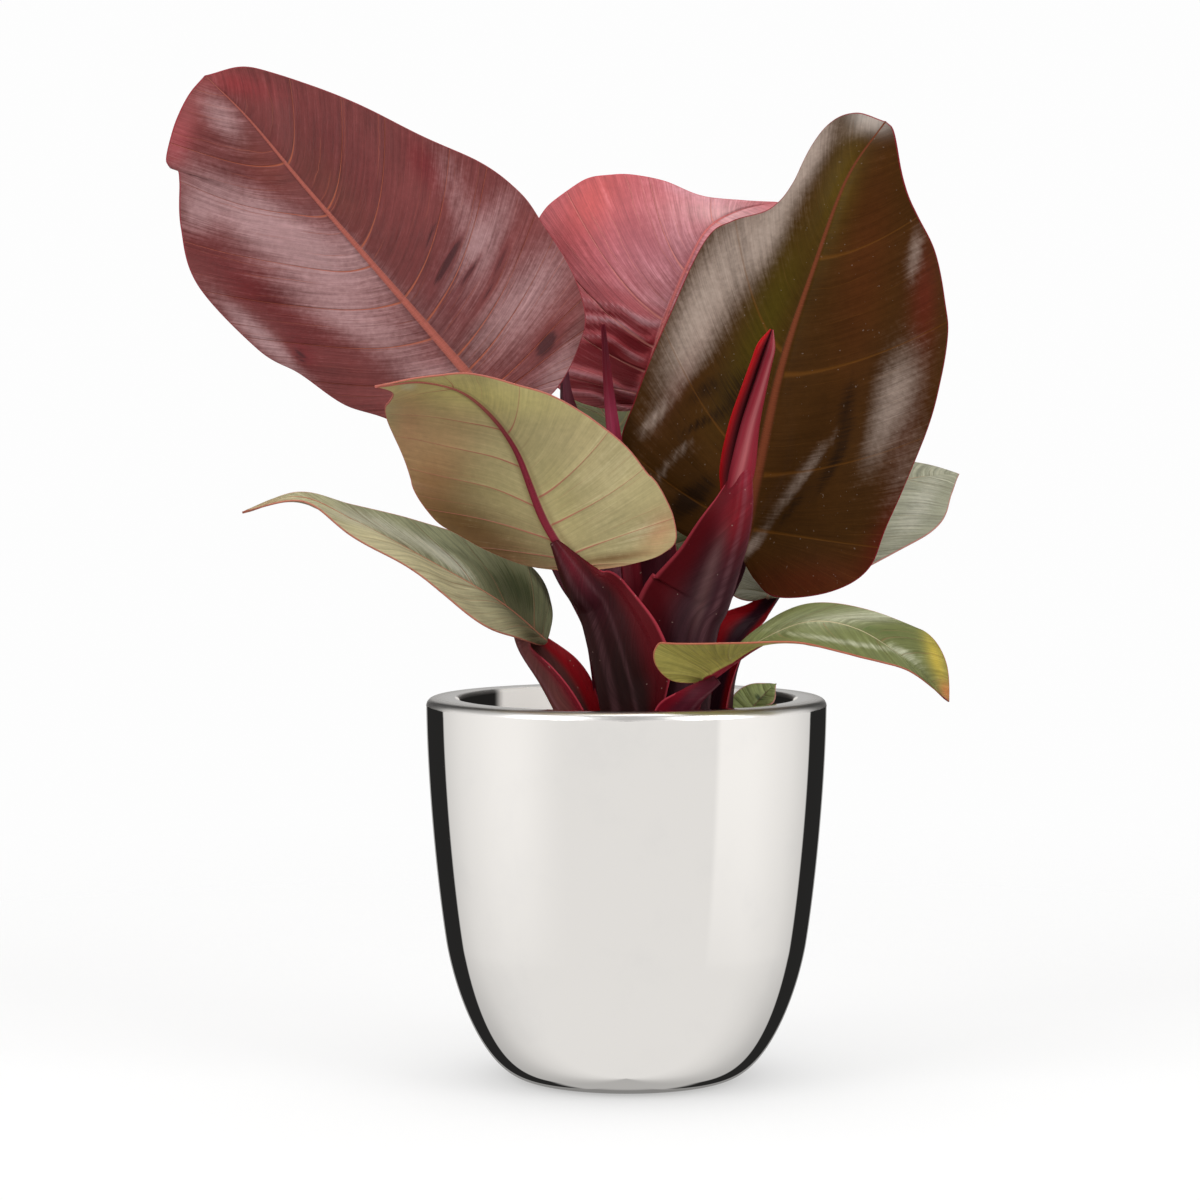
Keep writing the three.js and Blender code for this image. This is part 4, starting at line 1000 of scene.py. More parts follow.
# %% [markdown]
# ## Laying out a blade
# Each half is laid out first as a sheet without thickness, and the two halves meet at the rib. Extra
# rows are put exactly on each side vein, so that the distance to the nearest vein, which every point
# carries, is exact along it.

# %% The sheet of a blade
# A row's first points in mm from the rib, its last ones in mm from the margin, and both as the parts
# of the row that they keep to where it is short.
RIB_OUT = np.array([0, 0.4, 0.8, 1.2, 1.7, 2.2, 2.8, 3.4, 4.4])
RIB_PART = np.array([0, 0.02, 0.04, 0.06, 0.085, 0.11, 0.14, 0.17, 0.22])
EDGE_IN = np.array([1.6, 0.9, 0.4, 0.12, 0])
EDGE_PART = np.array([0.16, 0.10, 0.05, 0.015, 0])
ROW_SPACE = 0.4
VEINS_FROM = 0.06
VEINS_SPAN = 0.86
VEINS_UNEVEN = 0.22
NARROWEST = 1e-3


def columns(width, count):
    """How far out the points of each row lie, as a part of it, finer by the rib and the margin."""
    width = np.maximum(width, NARROWEST)[:, None]
    near = np.minimum(RIB_OUT / width, RIB_PART)
    far = 1 - np.minimum(EDGE_IN / width, EDGE_PART)
    inner = np.linspace(0, 1, count + 2)[1:-1]
    between = near[:, -1:] + (far[:, :1] - near[:, -1:]) * inner
    return np.hstack([near, between, far])


def vein_places(count, generator):
    """Where the side veins of a half end on its margin, as parts of the margin's length."""
    if isinstance(count, tuple):
        return np.array(count)
    step = VEINS_SPAN / count
    uneven = generator.uniform(-VEINS_UNEVEN, VEINS_UNEVEN, count)
    return VEINS_FROM + step * (np.arange(count) + 0.5 + uneven)


def matched(veins, others, steps):
    """Moves a vein onto one of the other half, where their rows would lie too close together."""
    nearest = others[np.abs(veins[:, None] - others).argmin(axis=1)]
    return np.where(np.abs(veins - nearest) < ROW_SPACE / steps, nearest, veins)


def row_places(veins, steps):
    """All the rows of a blade: one on each vein, and even ones wherever no vein is close by."""
    kept = np.concatenate([[0], *veins, [1]])
    even = np.linspace(0, 1, steps)
    far_enough = np.abs(even[:, None] - kept).min(axis=1) > ROW_SPACE / steps
    return np.unique(np.concatenate([kept, even[far_enough]]))


print("a row has", len(RIB_OUT) + len(EDGE_IN), "points by its ends, and even ones between them")

# %% The sheet of a half blade
VEIN_LEAVE = 2.2
VEIN_SWEEP = 1.5
FLAT_UNDER = 1e-4
FLAT_BEND = 1e-6


def rise(leaf, length, s, w, side):
    """How far out from the rib and up from it a place of the flat leaf lies."""
    u = np.clip(s / length, 0, 1)
    fold, curl = (np.radians(keyed(leaf[key][side], u)) for key in ("fold", "curl"))
    bend = np.where(np.abs(curl) < FLAT_UNDER, FLAT_BEND, curl / leaf["half_width"])
    out = (np.sin(fold + bend * w) - np.sin(fold)) / bend
    up = (np.cos(fold) - np.cos(fold + bend * w)) / bend
    return out * (1 - 2 * side), up


def half_sheet(leaf, axis, t, side, count):
    """Points of the left half, which is side 0, or of the right half, and what is known of each."""
    margin, margin_length = even_curve(leaf["right" if side else "left"], t)
    s_margin, w_margin = margin[:, 0], np.maximum(margin[:, 1], 0)
    s_rib = t ** VEIN_LEAVE * axis.length
    root = axis.frame(s_rib)[0]
    edge, _, edge_up, edge_left = axis.frame(s_margin)
    _, middle_along, middle_up, middle_left = axis.frame((s_rib + s_margin) / 2)
    whole_out, whole_up = rise(leaf, axis.length, s_margin, w_margin, side)
    reach = edge + edge_left * whole_out[:, None] + edge_up * whole_up[:, None] - root
    width = np.linalg.norm(reach, axis=1)
    v = columns(width, count)
    out, up = rise(leaf, axis.length, s_margin[:, None], w_margin[:, None] * v, side)
    bend = leaf.get("sweep", (VEIN_SWEEP, VEIN_SWEEP))[side]
    sweep = (s_margin - s_rib)[:, None] * (v ** bend - v)
    points = root[:, None] + reach[:, None] * v[..., None]
    points += middle_left[:, None] * (out - whole_out[:, None] * v)[..., None]
    points += middle_up[:, None] * (up - whole_up[:, None] * v)[..., None]
    points += middle_along[:, None] * sweep[..., None]
    flat_s = s_rib[:, None] + (s_margin - s_rib)[:, None] * v ** bend
    flat_w = w_margin[:, None] * v
    return {"points": points, "v": v, "width": width, "s": flat_s, "w": flat_w,
            "s_rib": s_rib, "margin": t * margin_length}


def vein_distance(half, t, veins):
    """The distance of each point to the nearest side vein, and the part of the way between two."""
    ends = np.concatenate([[0], veins, [1]])
    i = np.clip(np.searchsorted(ends, t, side="right") - 1, 0, len(veins))
    between = (t - ends[i]) / (ends[i + 1] - ends[i])
    nearest = veins[np.abs(t[:, None] - veins).argmin(axis=1)]
    rib_gap = np.abs(half["s_rib"] - np.interp(nearest, t, half["s_rib"]))
    margin_gap = np.abs(half["margin"] - np.interp(nearest, t, half["margin"]))
    gap = rib_gap[:, None] * (1 - half["v"]) + margin_gap[:, None] * half["v"]
    return gap, between


midribs = {name: MiddleLine(leaf["rib"], leaf["face"]).length for name, leaf in LEAVES.items()}
print("midribs in mm:", {name: round(length) for name, length in midribs.items()})

# %% [markdown]
# ## Relief
# Between its side veins a blade swells, along them it dips, and as a whole it waves gently. The young
# coral leaf is still wrinkled across, and the large dark one has a few creases. All of that is real
# shape, because the light shows it from every side. Only the finest wrinkles are left to the finish.

# %% The relief of a blade
SWELL = 0.6
WAVES = {"count": 5, "length": (38, 80), "height": 0.45, "rib_fade": 14}
CREASE_WIDTH = 2.2
CREASE_BEND = 0.012


def cross_folds(leaf, half):
    """The height of the sharp folds across a young leaf, from -1 in a valley to 1 on a ridge. Small
    sines bend the folds and make their spacing uneven."""
    start, end, spacing = leaf.get("folds", (-1, -1, 1))
    bent = half["s"] + 2.2 * np.sin(half["w"] / 9 + 1) + 0.9 * np.sin(half["w"] / 4.1) + half["w"] * 0.12
    inside = smooth_step(start, start + spacing, bent) * smooth_step(end, end - spacing * 2, bent)
    uneven = bent + 2.2 * np.sin(bent / 5.3) + 1.3 * np.sin(half["w"] / 13 + bent / 9)
    ridge = (0.5 + 0.5 * np.sin(2 * math.pi * uneven / spacing)) ** 3
    return (1.8 * ridge - 0.8) * inside * smooth_step(0, 6, half["w"])


def relief(leaf, half, between, generator):
    """How far the surface stands out from its smooth form: swelling between veins, and waves."""
    v = half["v"]
    body = smooth_step(0, 0.2, v) * smooth_step(1.0, 0.7, v)
    height = leaf.get("swell", SWELL) * np.sin(math.pi * between)[:, None] * body
    off_rib = smooth_step(0, WAVES["rib_fade"], half["w"]) * smooth_step(-12, 8, half["s"])
    for _ in range(WAVES["count"]):
        wave = generator.uniform(*WAVES["length"])
        turn = generator.uniform(0, 2 * math.pi)
        place = (half["s"] * math.cos(turn) + half["w"] * math.sin(turn)) / wave * 2 * math.pi
        height += WAVES["height"] * np.sin(place + generator.uniform(0, 6)) * off_rib
    height += leaf.get("fold_depth", 0) * half["folds"]
    for s, w, length, depth, turn, side in leaf.get("creases", ()):
        if side != half["side"]:
            continue
        angle = math.radians(turn)
        ds, dw = half["s"] - s, half["w"] - w
        on = ds * math.cos(angle) + dw * math.sin(angle)
        off = dw * math.cos(angle) - ds * math.sin(angle) + CREASE_BEND * on ** 2
        height += depth * hump(on, 0, length) * hump(off, 0, CREASE_WIDTH)
    return height


print("relief with", WAVES["count"], "waves of", WAVES["height"], "mm")

# %% [markdown]
# ## Paint and thickness
# Spots of colour could be painted on a flat map, but a blade that twists and folds has no simple one.
# So each point is told where it lies in the picture, and takes its colour, its painted sheen and
# its painted shade from the spots there. Then the sheet gets its two faces, a midrib that stands out
# below, a low crest above it, and a rounded margin.

# %% Painting a blade
CAMERA_MM = np.array(CAMERA_PLACE) / MM
PICTURE = 1200
RIGHT_HALF = 500
RIDGE_PAINTED_SHEEN = 0.8
VALLEY_PAINTED_SHADE = 0.85


def seen_at(points):
    """Where each point lies in the picture, in pixels across and down."""
    tilt = math.radians(CAMERA_TILT_DOWN)
    ahead = np.array([0, math.cos(tilt), -math.sin(tilt)])
    above = np.array([0, math.sin(tilt), math.cos(tilt)])
    reach = np.asarray(points) - CAMERA_MM
    depth = reach @ ahead
    focal = PICTURE * CAMERA_LENS / SENSOR_WIDTH
    across = PICTURE / 2 + focal * reach[..., 0] / depth
    down = PICTURE / 2 - focal * (reach @ above) / depth
    return across, down


def spot_weight(seen, spot):
    """How strongly a spot acts on each point, from 0 to its strength."""
    across, down, length, width, turn, strength = spot[:6]
    angle = math.radians(turn)
    dx, dy = seen[0] - across, down - seen[1]
    on = dx * math.cos(angle) + dy * math.sin(angle)
    off = dy * math.cos(angle) - dx * math.sin(angle)
    return strength * np.exp(-(on / length) ** 2 - (off / width) ** 2)


def painted(colour, seen, spots):
    """The colour of each point, after the spots of colour. The first colour may differ by point."""
    colours = np.broadcast_to(colour, (*seen[0].shape, 3)).copy()
    for spot in spots:
        weight = np.clip(spot_weight(seen, spot), 0, 1)[..., None]
        colours = colours * (1 - weight) + rgb(spot[6]) * weight
    return colours


def blade_colours_and_painted_light(look, whole, seen):
    """The colour of each point, with the spots of colour and of painted light and shade: for the upper
    face, whose halves may differ, and for the underside.
    """
    left, right, under = (rgb(look.get(key, look["upper"])) for key in ("upper", "upper_right", "under"))
    upper = np.where((whole["path"] < RIGHT_HALF)[..., None], left, right)
    return np.concatenate([painted(base, seen, look["tints_and_painted_light"]).reshape(-1, 3) for base in (upper, under)])


def blade_layers(look, axis, whole, seen, from_rib, from_vein):
    """What each point of both faces carries for the finish, besides its colour."""
    lines = np.stack([from_vein, from_rib, whole["edge"]], axis=-1)
    # Ridges of the cross folds get painted sheen, and their valleys painted shade.
    ridges, valleys = np.maximum(whole["folds"], 0), np.maximum(-whole["folds"], 0)
    marks = np.stack([RIDGE_PAINTED_SHEEN * ridges, VALLEY_PAINTED_SHADE * valleys, whole["v"]], axis=-1)
    for index, key in enumerate(("painted_sheen", "shade")):
        for spot in look[key]:
            marks[..., index] += spot_weight(seen, spot)
    tipward = np.repeat((whole["s"] / axis.length)[..., None], 3, axis=-1)
    paths = [np.stack([whole["path"], whole["out"], np.full_like(whole["out"], face)], axis=-1)
             for face in (1, -1)]
    layers = {"lines": (lines, lines), "path": paths, "marks": (marks, marks), "tipward": (tipward, tipward)}
    return {key: np.concatenate([part.reshape(-1, 3) for part in parts]) for key, parts in layers.items()}


rim_seen = seen_at((0, -RIM_RADIUS, POT_HEIGHT))
print("the front of the pot's rim shows at", [round(float(v)) for v in rim_seen], "in the picture")

# %% Thickening a blade
BLADE_THICKNESS = 0.8
MARGIN_ROUND = 0.4
MIDRIB_DEPTH = 2.4
MIDRIB_TAPER = 0.85
MIDRIB_START = 0.25
MIDRIB_RUN_IN = 8
LONGEST_BLADE = 200
CREST_HEIGHT = 0.35
CREST_GROOVE = {"depth": 0.15, "place": 1.3, "width": 0.35}
MIDRIB_THINNEST = 0.05
MIDRIB_REACH = 1.15
VEIN_DIP = 0.16
VEIN_HALF = {"least": 0.22, "more_by_rib": 0.5}


def surface_normals(points, axis):
    """The direction that each point of a sheet looks in, above the leaf."""
    down_rows = np.gradient(points, axis=0)
    across = np.gradient(points, axis=1)
    normals = unit(np.cross(across, down_rows))
    normals[[0, -1]] = axis.frame(np.array([0, axis.length]))[2][:, None]
    return normals


def blade_heights(look, axis, whole):
    """How far each face lies from the sheet, and the distances from rib and vein in their widths."""
    edge, out, s = whole["edge"], whole["out"], whole["s"]
    half = BLADE_THICKNESS / 2 * np.sqrt(1 - (1 - np.clip(edge / MARGIN_ROUND, 0, 1)) ** 2)
    slimmer = np.clip(1 - MIDRIB_TAPER * s / axis.length, MIDRIB_THINNEST, 1)
    from_rib = out / (look["rib_width"] * slimmer ** 0.8)
    round_rib = np.sqrt(np.clip(1 - (from_rib / MIDRIB_REACH) ** 2, 0, 1))
    start = np.clip(MIDRIB_START + s / MIDRIB_RUN_IN, 0, 1)
    depth = MIDRIB_DEPTH * math.sqrt(axis.length / LONGEST_BLADE) * start * slimmer
    ridge = depth * round_rib * (edge > 0)
    groove = CREST_GROOVE["depth"] * hump(from_rib, CREST_GROOVE["place"], CREST_GROOVE["width"])
    crest = (CREST_HEIGHT * round_rib - groove) * np.clip(edge, 0, 1) * slimmer
    vein_half = VEIN_HALF["least"] + VEIN_HALF["more_by_rib"] * (1 - whole["v"]) ** 3
    dip = VEIN_DIP * smooth_step(2.6 * vein_half, 0, whole["gap"]) * np.clip(out / 3, 0, 1)
    dip = dip * np.clip(edge / 2, 0, 1)
    return half + crest - dip, half + ridge + dip, from_rib, whole["gap"] / vein_half


def whole_sheet(leaf, look, axis, steps, count, generator):
    """Both halves of a blade side by side, without thickness, and what is known of each point."""
    veins = [vein_places(number, generator) for number in look["veins"]]
    veins[1] = matched(veins[1], veins[0], steps)
    t = row_places(veins, steps)
    sheets = []
    for side in (0, 1):
        half = half_sheet(leaf, axis, t, side, count)
        half["side"] = side
        half["gap"], between = vein_distance(half, t, veins[side])
        half["folds"] = cross_folds(leaf, half)
        half["relief"] = relief(leaf, half, between, generator)
        half["out"] = half["v"] * half["width"][:, None]
        half["edge"] = (1 - half["v"]) * half["width"][:, None]
        half["path"] = half["margin"][:, None] + 0 * half["v"] + side * RIGHT_HALF
        sheets.append(half)
    return {key: np.concatenate([sheets[0][key][:, :0:-1], sheets[1][key]], axis=1)
            for key in ("points", "v", "gap", "relief", "out", "edge", "path", "s", "folds")}


def build_blade(name, leaf, look, steps, count, seed):
    """One whole blade: both faces, the midrib below, and a rounded margin all round."""
    axis = MiddleLine(leaf["rib"], leaf["face"])
    whole = whole_sheet(leaf, look, axis, steps, count, np.random.default_rng(seed))
    points = whole["points"]
    points = points + surface_normals(points, axis) * whole["relief"][..., None]
    normals = surface_normals(points, axis)
    rows, width = points.shape[:2]
    over, under, from_rib, from_vein = blade_heights(look, axis, whole)
    upper, lower = points + normals * over[..., None], points - normals * under[..., None]
    vertices = np.concatenate([upper.reshape(-1, 3), lower.reshape(-1, 3)])
    faces = grid_faces(rows, width, flip=True) + grid_faces(rows, width, start=rows * width)
    seen = seen_at(points)
    layers = blade_layers(look, axis, whole, seen, from_rib, from_vein)
    return make_piece("leaf_" + name, vertices, faces, leaf_finish(name, look, seed),
                      "blade_" + name, layers, {"tint": blade_colours_and_painted_light(look, whole, seen)})


print("blades are", BLADE_THICKNESS, "mm thick")

# %% [markdown]
# ## The finish of a leaf
# A philodendron leaf is leathery and half glossy. Its colour breaks into fine streaks that run with
# the side veins, and the painted sheen on it has feathered ends for the same reason. So one stretched
# noise, whose long direction is the vein's, drives the colour, the edge of the painted sheen and the
# relief alike. The veins, the midrib with the shadow painted beside it, and the thin coloured margin
# come from distances kept in the mesh.

# %% Leaf finish
FINE_VEIN_SPACING = 5.5
RIB_EDGE = 1.1
MARGIN = (0.3, 0.65)
SPECK = (0.74, 0.78)


def with_painted_sheen_and_shade(finish, look, colour, painted_sheen, shade, streak, fine, grain):
    """The colour after the painted shade and the pale painted sheen, and where the sheen lies."""
    contrast = look["streaks"]
    shadows = (shade + 1.6 * contrast * streak + 0.5 * fine).above(0.35, 0.75)
    colour = finish.mix(shadows * 0.85, colour, srgb(*look["shade_colour"]))
    feathered = look["feather"] * (1.2 * streak + 0.8 * fine)
    lights = (painted_sheen - 0.9 * shade + feathered + grain).above(0.05, 1.25)
    sheen_brightness = 1 + contrast * (0.9 * streak + 0.7 * fine) + grain
    painted_sheen_colour = finish.brighten(rgb(look["painted_sheen_colour"]), sheen_brightness)
    return finish.mix(lights * 0.85, colour, painted_sheen_colour), lights


def fine_veins(finish, along, out, out_rib, blotch, seed):
    """Thin lines between the side veins, some of which are left out along the way."""
    cell = along / FINE_VEIN_SPACING + 0.8 * blotch
    off_line = (cell.math("FRACT") - 0.5).math("ABSOLUTE")
    place = finish.vector(cell.math("FLOOR") * 3.7, out * 0.03, seed)
    chosen = finish.noise(place, 1, 0).above(0.5, 0.7)
    return off_line.below(0.015, 0.05) * chosen * out_rib.above(1, 2)


def ribbed(finish, look, colour, out_rib, face, fine):
    """The colour after the midrib and the shadow painted beside it. On some leaves the midrib pales to
    the tip.
    """
    underside = face.below(-0.1, 0.1)
    reach = out_rib / (underside + (1 - underside) * look["rib_above_width"])
    light = 0.9 + 1.2 * fine + 0.25 * out_rib.below(0, 0.8)
    rib_colour = finish.mix(underside, srgb(*look.get("rib_above", look["rib"])), srgb(*look["rib"]))
    if "rib_fade" in look:
        tipward = finish.split(finish.attribute("tipward"))[0]
        rib_colour = finish.mix(tipward.above(*look["rib_fade"]), rib_colour, srgb(*look["vein"]))
    shadow = out_rib.below(1.0, 2.8) * look["rib_shadow"]
    colour = finish.mix(shadow, colour, srgb(*look["shade_colour"]))
    return finish.mix(reach.below(look["rib_core"], RIB_EDGE), colour, finish.brighten(rib_colour, light))


def leaf_finish(name, look, seed):
    """The finish of one leaf, both of its faces, its veins, its midrib and its margin."""
    finish = Finish("leaf " + name.replace("_", " "), Specular_IOR_Level=look["shine"])
    gap, out_rib, edge = finish.split(finish.attribute("lines"))
    along, out, face = finish.split(finish.attribute("path"))
    painted_sheen, shade, part = finish.split(finish.attribute("marks"))
    streak = finish.noise(finish.vector(along * 0.5, out * 0.028, seed), 1, 4, 0.62, 0.25) - 0.5
    fine = finish.noise(finish.vector(along * 1.9, out * 0.06, seed + 9), 1, 3, 0.6) - 0.5
    place = finish.place()
    blotch = finish.noise(place, 45, 3, 0.6)
    wrinkle = finish.noise(place, 420, 3, 0.6) - 0.5
    light = 1 + look["streaks"] * (1.7 * streak + 1.0 * fine) + 0.5 * (blotch - 0.5) + 0.3 * wrinkle
    colour = finish.brighten(finish.attribute("tint"), light)
    grain = look["grain"] * wrinkle
    # Dark spots and valleys darken it as painted shade, and pale spots and ridges lighten it as painted
    # sheen.
    colour, lights = with_painted_sheen_and_shade(finish, look, colour, painted_sheen, shade, streak, fine, grain)
    if look["specks"]:
        specks = finish.noise(place, 700, 1).above(*SPECK) * look["specks"]
        colour = finish.mix(specks, colour, srgb(*look["painted_sheen_colour"]))
    fine_vein = fine_veins(finish, along, out, out_rib, blotch, seed)
    side_vein = gap.below(0.35, 1.15 * look["vein_width"]) * out_rib.above(0.8, 1.2) * (1 - 0.45 * part)
    veins = (side_vein * look["vein_strength"]).math("MAXIMUM", fine_vein * look["fine_veins"])
    colour = finish.mix(veins, colour, srgb(*look["vein"]))
    colour = ribbed(finish, look, colour, out_rib, face, fine)
    colour = finish.mix(edge.below(*MARGIN) * 0.85, colour, srgb(*look["edge"]))
    roughness = 0.42 + 0.25 * wrinkle + 0.2 * streak - 0.06 * lights
    height = 0.6 * streak + 0.4 * fine + 0.3 * wrinkle
    height = height - gap.below(0, 2.2) * face * 0.6 - 0.25 * fine_vein * face
    return finish.surface(colour, roughness, height, look["relief"])


print("leaf finish with fine veins every", FINE_VEIN_SPACING, "mm")

# %% The leaves
# Rows from the base to the tip, and columns between the rib and the margin.
LARGE_GRID = (170, 24)
MIDDLE_GRID = (110, 16)
SMALL_GRID = (40, 8)
GRIDS = {"left_large": LARGE_GRID, "right_large": LARGE_GRID, "front_left": LARGE_GRID,
         "back_centre": LARGE_GRID, "small": SMALL_GRID}

for seed, (name, leaf) in enumerate(LEAVES.items()):
    rows, columns_between = GRIDS.get(name, MIDDLE_GRID)
    blade = build_blade(name, leaf, {**PLAIN_LEAF, **LOOKS[name]}, rows, columns_between, seed)
    print(blade.name, len(blade.data.polygons), "faces")

# %% [markdown]
# ## The stalks
# Each leaf stands on a petiole that is round below and grooved above, with a thin sheath wing on each
# side. The wings clasp the younger stalks, and are bright crimson inside. All the petioles rise from
# one short stem. A section is drawn once, rounded, and laid along the stalk's middle line, with its
# size and its wings changing on the way. The same goes for the thin spike and the dry bract.

# %% Shape of each stalk, in millimetres
# `radius` and the reach of the left and right wing are given from the foot to the tip. `join` has
# places along the midrib and how deep under it the petiole runs there.
STALKS = {
    "petiole_front_left": {
        "leaf": "front_left",
        "join": [[-6, 4.6], [6, 3.2], [16, 1.6]],
        "path": [[0, -24, 138], [-3, -29, 161], [-9, -33, 187], [-14, -37, 203]],
        "face": [[0.1, 1, 0.1], [0.1, 1, 0.2], [0.15, 0.85, 0.45]],
        "radius": [9.5, 9, 8.4, 7.6, 6.4, 1.9],
        "left": [5, 9, 16, 15, 9, 3, 0],
    },
    "petiole_front_right": {
        "leaf": "front_right",
        "path": [[22, -28, 138], [23, -37, 155]],
        "face": [[-0.1, 1, 0.1], [-0.1, 0.8, 0.6], [-0.1, 0.5, 0.85]],
        "radius": [6, 5.5, 4.6, 3.4, 2],
        "left": [2, 3, 2, 0],
        "right": [6, 7, 4, 0],
    },
    "petiole_new": {
        "path": [[24, -12, 138], [31, -17, 188], [37, -19, 203], [43, -22, 222], [47.5, -25, 241],
                 [49.5, -23, 262]],
        "face": [[-0.2, 1, 0.1], [-0.2, 1, 0.1], [-0.2, 1, 0.1]],
        "radius": [9, 8.5, 7, 6.2, 5.6, 2.8],
        "right": [8, 14, 21, 21, 14, 8, 0],
    },
    "petiole_lower_left": {
        "leaf": "lower_left",
        "join": [[4, 6.5], [15, 3.2]],
        "path": [[-14, -12, 138], [-22, -12, 157], [-31, -10, 172]],
        "face": [[0.7, -0.1, 0.5], [0.7, -0.2, 0.6], [0.3, -0.45, 0.8]],
        "radius": [8, 8, 7.4, 5.6, 2.4],
        "left": [3, 5, 6, 3, 0],
        "right": [4, 9, 11, 6, 0],
    },
    "petiole_back_right": {
        "leaf": "back_right",
        "path": [[36, 6, 138], [41, 10, 167], [48, 15, 184]],
        "face": [[-0.7, -0.6, 0.2], [-0.6, -0.6, 0.4], [-0.3, -0.7, 0.6]],
        "radius": [7.5, 7, 5.4, 4.2, 3.4, 2],
        "left": [8, 9, 10, 10, 10, 10, 4, 0],
        "right": [5, 6, 6, 7, 7, 7, 3, 0],
    },
    "petiole_right_large": {
        "leaf": "right_large",
        "path": [[26, 14, 138], [31, 14, 170], [37, 12, 195]],
        "face": [[-0.1, -1, 0.2], [-0.1, -1, 0.2], [-0.1, -0.97, 0.2]],
        "radius": [7, 6, 5, 4.4, 4, 2.4],
        "left": [4, 3, 1, 0, 0],
        "right": [4, 3, 1, 0, 0],
    },
    "petiole_left_large": {
        "leaf": "left_large",
        "path": [[-4, 6, 138], [-7, 9, 165], [-12, 9, 188], [-19, 8, 203], [-27, 7, 216], [-42, 7, 250]],
        "face": [[0.3, -0.9, 0.1], [0.1, -0.95, 0.2], [0, -0.97, 0.2]],
        "radius": [7, 6, 5, 4.4, 4, 2.4],
        "left": [4, 3, 1, 0, 0, 0],
        "right": [4, 3, 1, 0, 0, 0],
    },
    "petiole_back_centre": {
        "leaf": "back_centre",
        "path": [[6, 22, 138], [10, 24, 175], [13, 31, 212], [11, 41, 250]],
        "face": [[-0.1, -1, 0.2], [-0.1, -0.97, 0.2], [-0.1, -0.97, 0.2]],
        "radius": [7, 7.2, 7, 5.4, 3.8, 2.4],
        "left": [5, 6, 5, 1, 0],
        "right": [5, 6, 5, 1, 0],
    },
    "petiole_back": {
        "leaf": "back",
        "path": [[20, 24, 138], [21, 32, 170], [22, 42, 198]],
        "face": [[0, -0.9, 0.4], [0, -0.8, 0.6], [0.1, -0.6, 0.8]],
        "radius": [6, 5.2, 4.2, 3.4, 2.2],
        "left": [3, 2, 0, 0],
        "right": [3, 2, 0, 0],
    },
    "petiole_small": {
        "leaf": "small",
        "path": [[28, 4, 140], [42, 9, 147]],
        "face": [[0, 0, 1], [0, -0.3, 1], [0, -0.5, 0.85]],
        "radius": [2.4, 2.2, 1.8, 1.2],
    },
    "spike": {
        "path": [[5, -5, 138], [4, -3, 190], [-1, 0, 240], [-7, 3, 285], [-10, 5, 320]],
        "face": [[0.2, -0.9, 0.1], [0.2, -0.9, 0.1], [0.2, -0.9, 0.1]],
        "radius": [4.6, 4.4, 4.0, 2.8, 0.5],
    },
    "bract": {
        "path": [[4, 9, 138], [-4, 13, 200], [-15, 16, 250], [-25, 19, 285], [-26.5, 20, 301]],
        "face": [[0.6, -0.8, 0.1], [0.6, -0.8, 0.1], [0.6, -0.8, 0.1]],
        "radius": [4.4, 4.8, 5.6, 6.0, 1.0],
    },
}
print("stalk shapes:", ", ".join(STALKS))

# %% The section of a stalk
JOIN = ((-6, 4.6), (6, 3.2))
SMALL_JOIN_SCALE = 0.5
SMALL_BLADE = 20
WING_THICKNESS = 1.3
WING_START = 0.86
WING_HEIGHT = {"middle": 0.34, "tip": 0.5}
WING_SLOPE = {"middle": 0.12, "tip": 0.42}
GROOVE = {"side": 0.45, "side_height": 0.42, "middle_height": 0.28}
ROUND_SIDES = 10
# For each point of a section, how far out on a wing it is, and whether it faces the groove.
ON_WING = np.array([0.5, 1, 1, 0.5, 0, 0, 0, 0.5, 1, 1, 0.5] + [0] * (ROUND_SIDES - 1))
IN_GROOVE = np.array([0, 0, 1, 1, 1, 1, 1, 1, 1, 0, 0] + [0] * (ROUND_SIDES - 1))


def stalk_path(stalk):
    """The middle of a stalk. A petiole runs on under its blade's base and into the midrib."""
    if "leaf" not in stalk:
        return stalk["path"]
    leaf = LEAVES[stalk["leaf"]]
    axis = MiddleLine(leaf["rib"], leaf["face"])
    scale = SMALL_JOIN_SCALE if leaf["half_width"] < SMALL_BLADE else 1
    s, depth = np.array(stalk.get("join", JOIN), float).T * scale
    at, _, up, _ = axis.frame(s)
    return np.concatenate([stalk["path"], at - up * depth[:, None]])


def stalk_section(radius, left_wing, right_wing):
    """The corners of a stalk's section, from its left wing over the groove to the right and below."""
    half = WING_THICKNESS / 2

    def wing(reach, side):
        tip = side * (radius * WING_START + reach)
        tip_height = radius * WING_HEIGHT["tip"] + reach * WING_SLOPE["tip"]
        middle = side * (radius * WING_START + reach / 2)
        middle_height = radius * WING_HEIGHT["middle"] + reach * WING_SLOPE["middle"]
        return [(middle, middle_height - half), (tip, tip_height - half / 2),
                (tip, tip_height + half / 2), (middle, middle_height + half)]

    groove_side = (radius * GROOVE["side"], radius * GROOVE["side_height"])
    points = wing(left_wing, 1)
    points += [groove_side, (0, radius * GROOVE["middle_height"]), (-groove_side[0], groove_side[1])]
    points += wing(right_wing, -1)[::-1]
    angle = math.pi * (1 + np.arange(1, ROUND_SIDES) / ROUND_SIDES)
    points += [(radius * math.cos(a), radius * math.sin(a)) for a in angle]
    return np.array(points)


def rounded(values):
    """Cuts the corners of every ring twice, which rounds them. A ring's points are on axis 1."""
    for _ in range(2):
        after = np.roll(values, -1, axis=1)
        values = np.stack([0.75 * values + 0.25 * after, 0.25 * values + 0.75 * after], axis=2)
        values = values.reshape(values.shape[0], -1, values.shape[-1])
    return values


print("a section has", len(ON_WING), "corners before it is rounded")

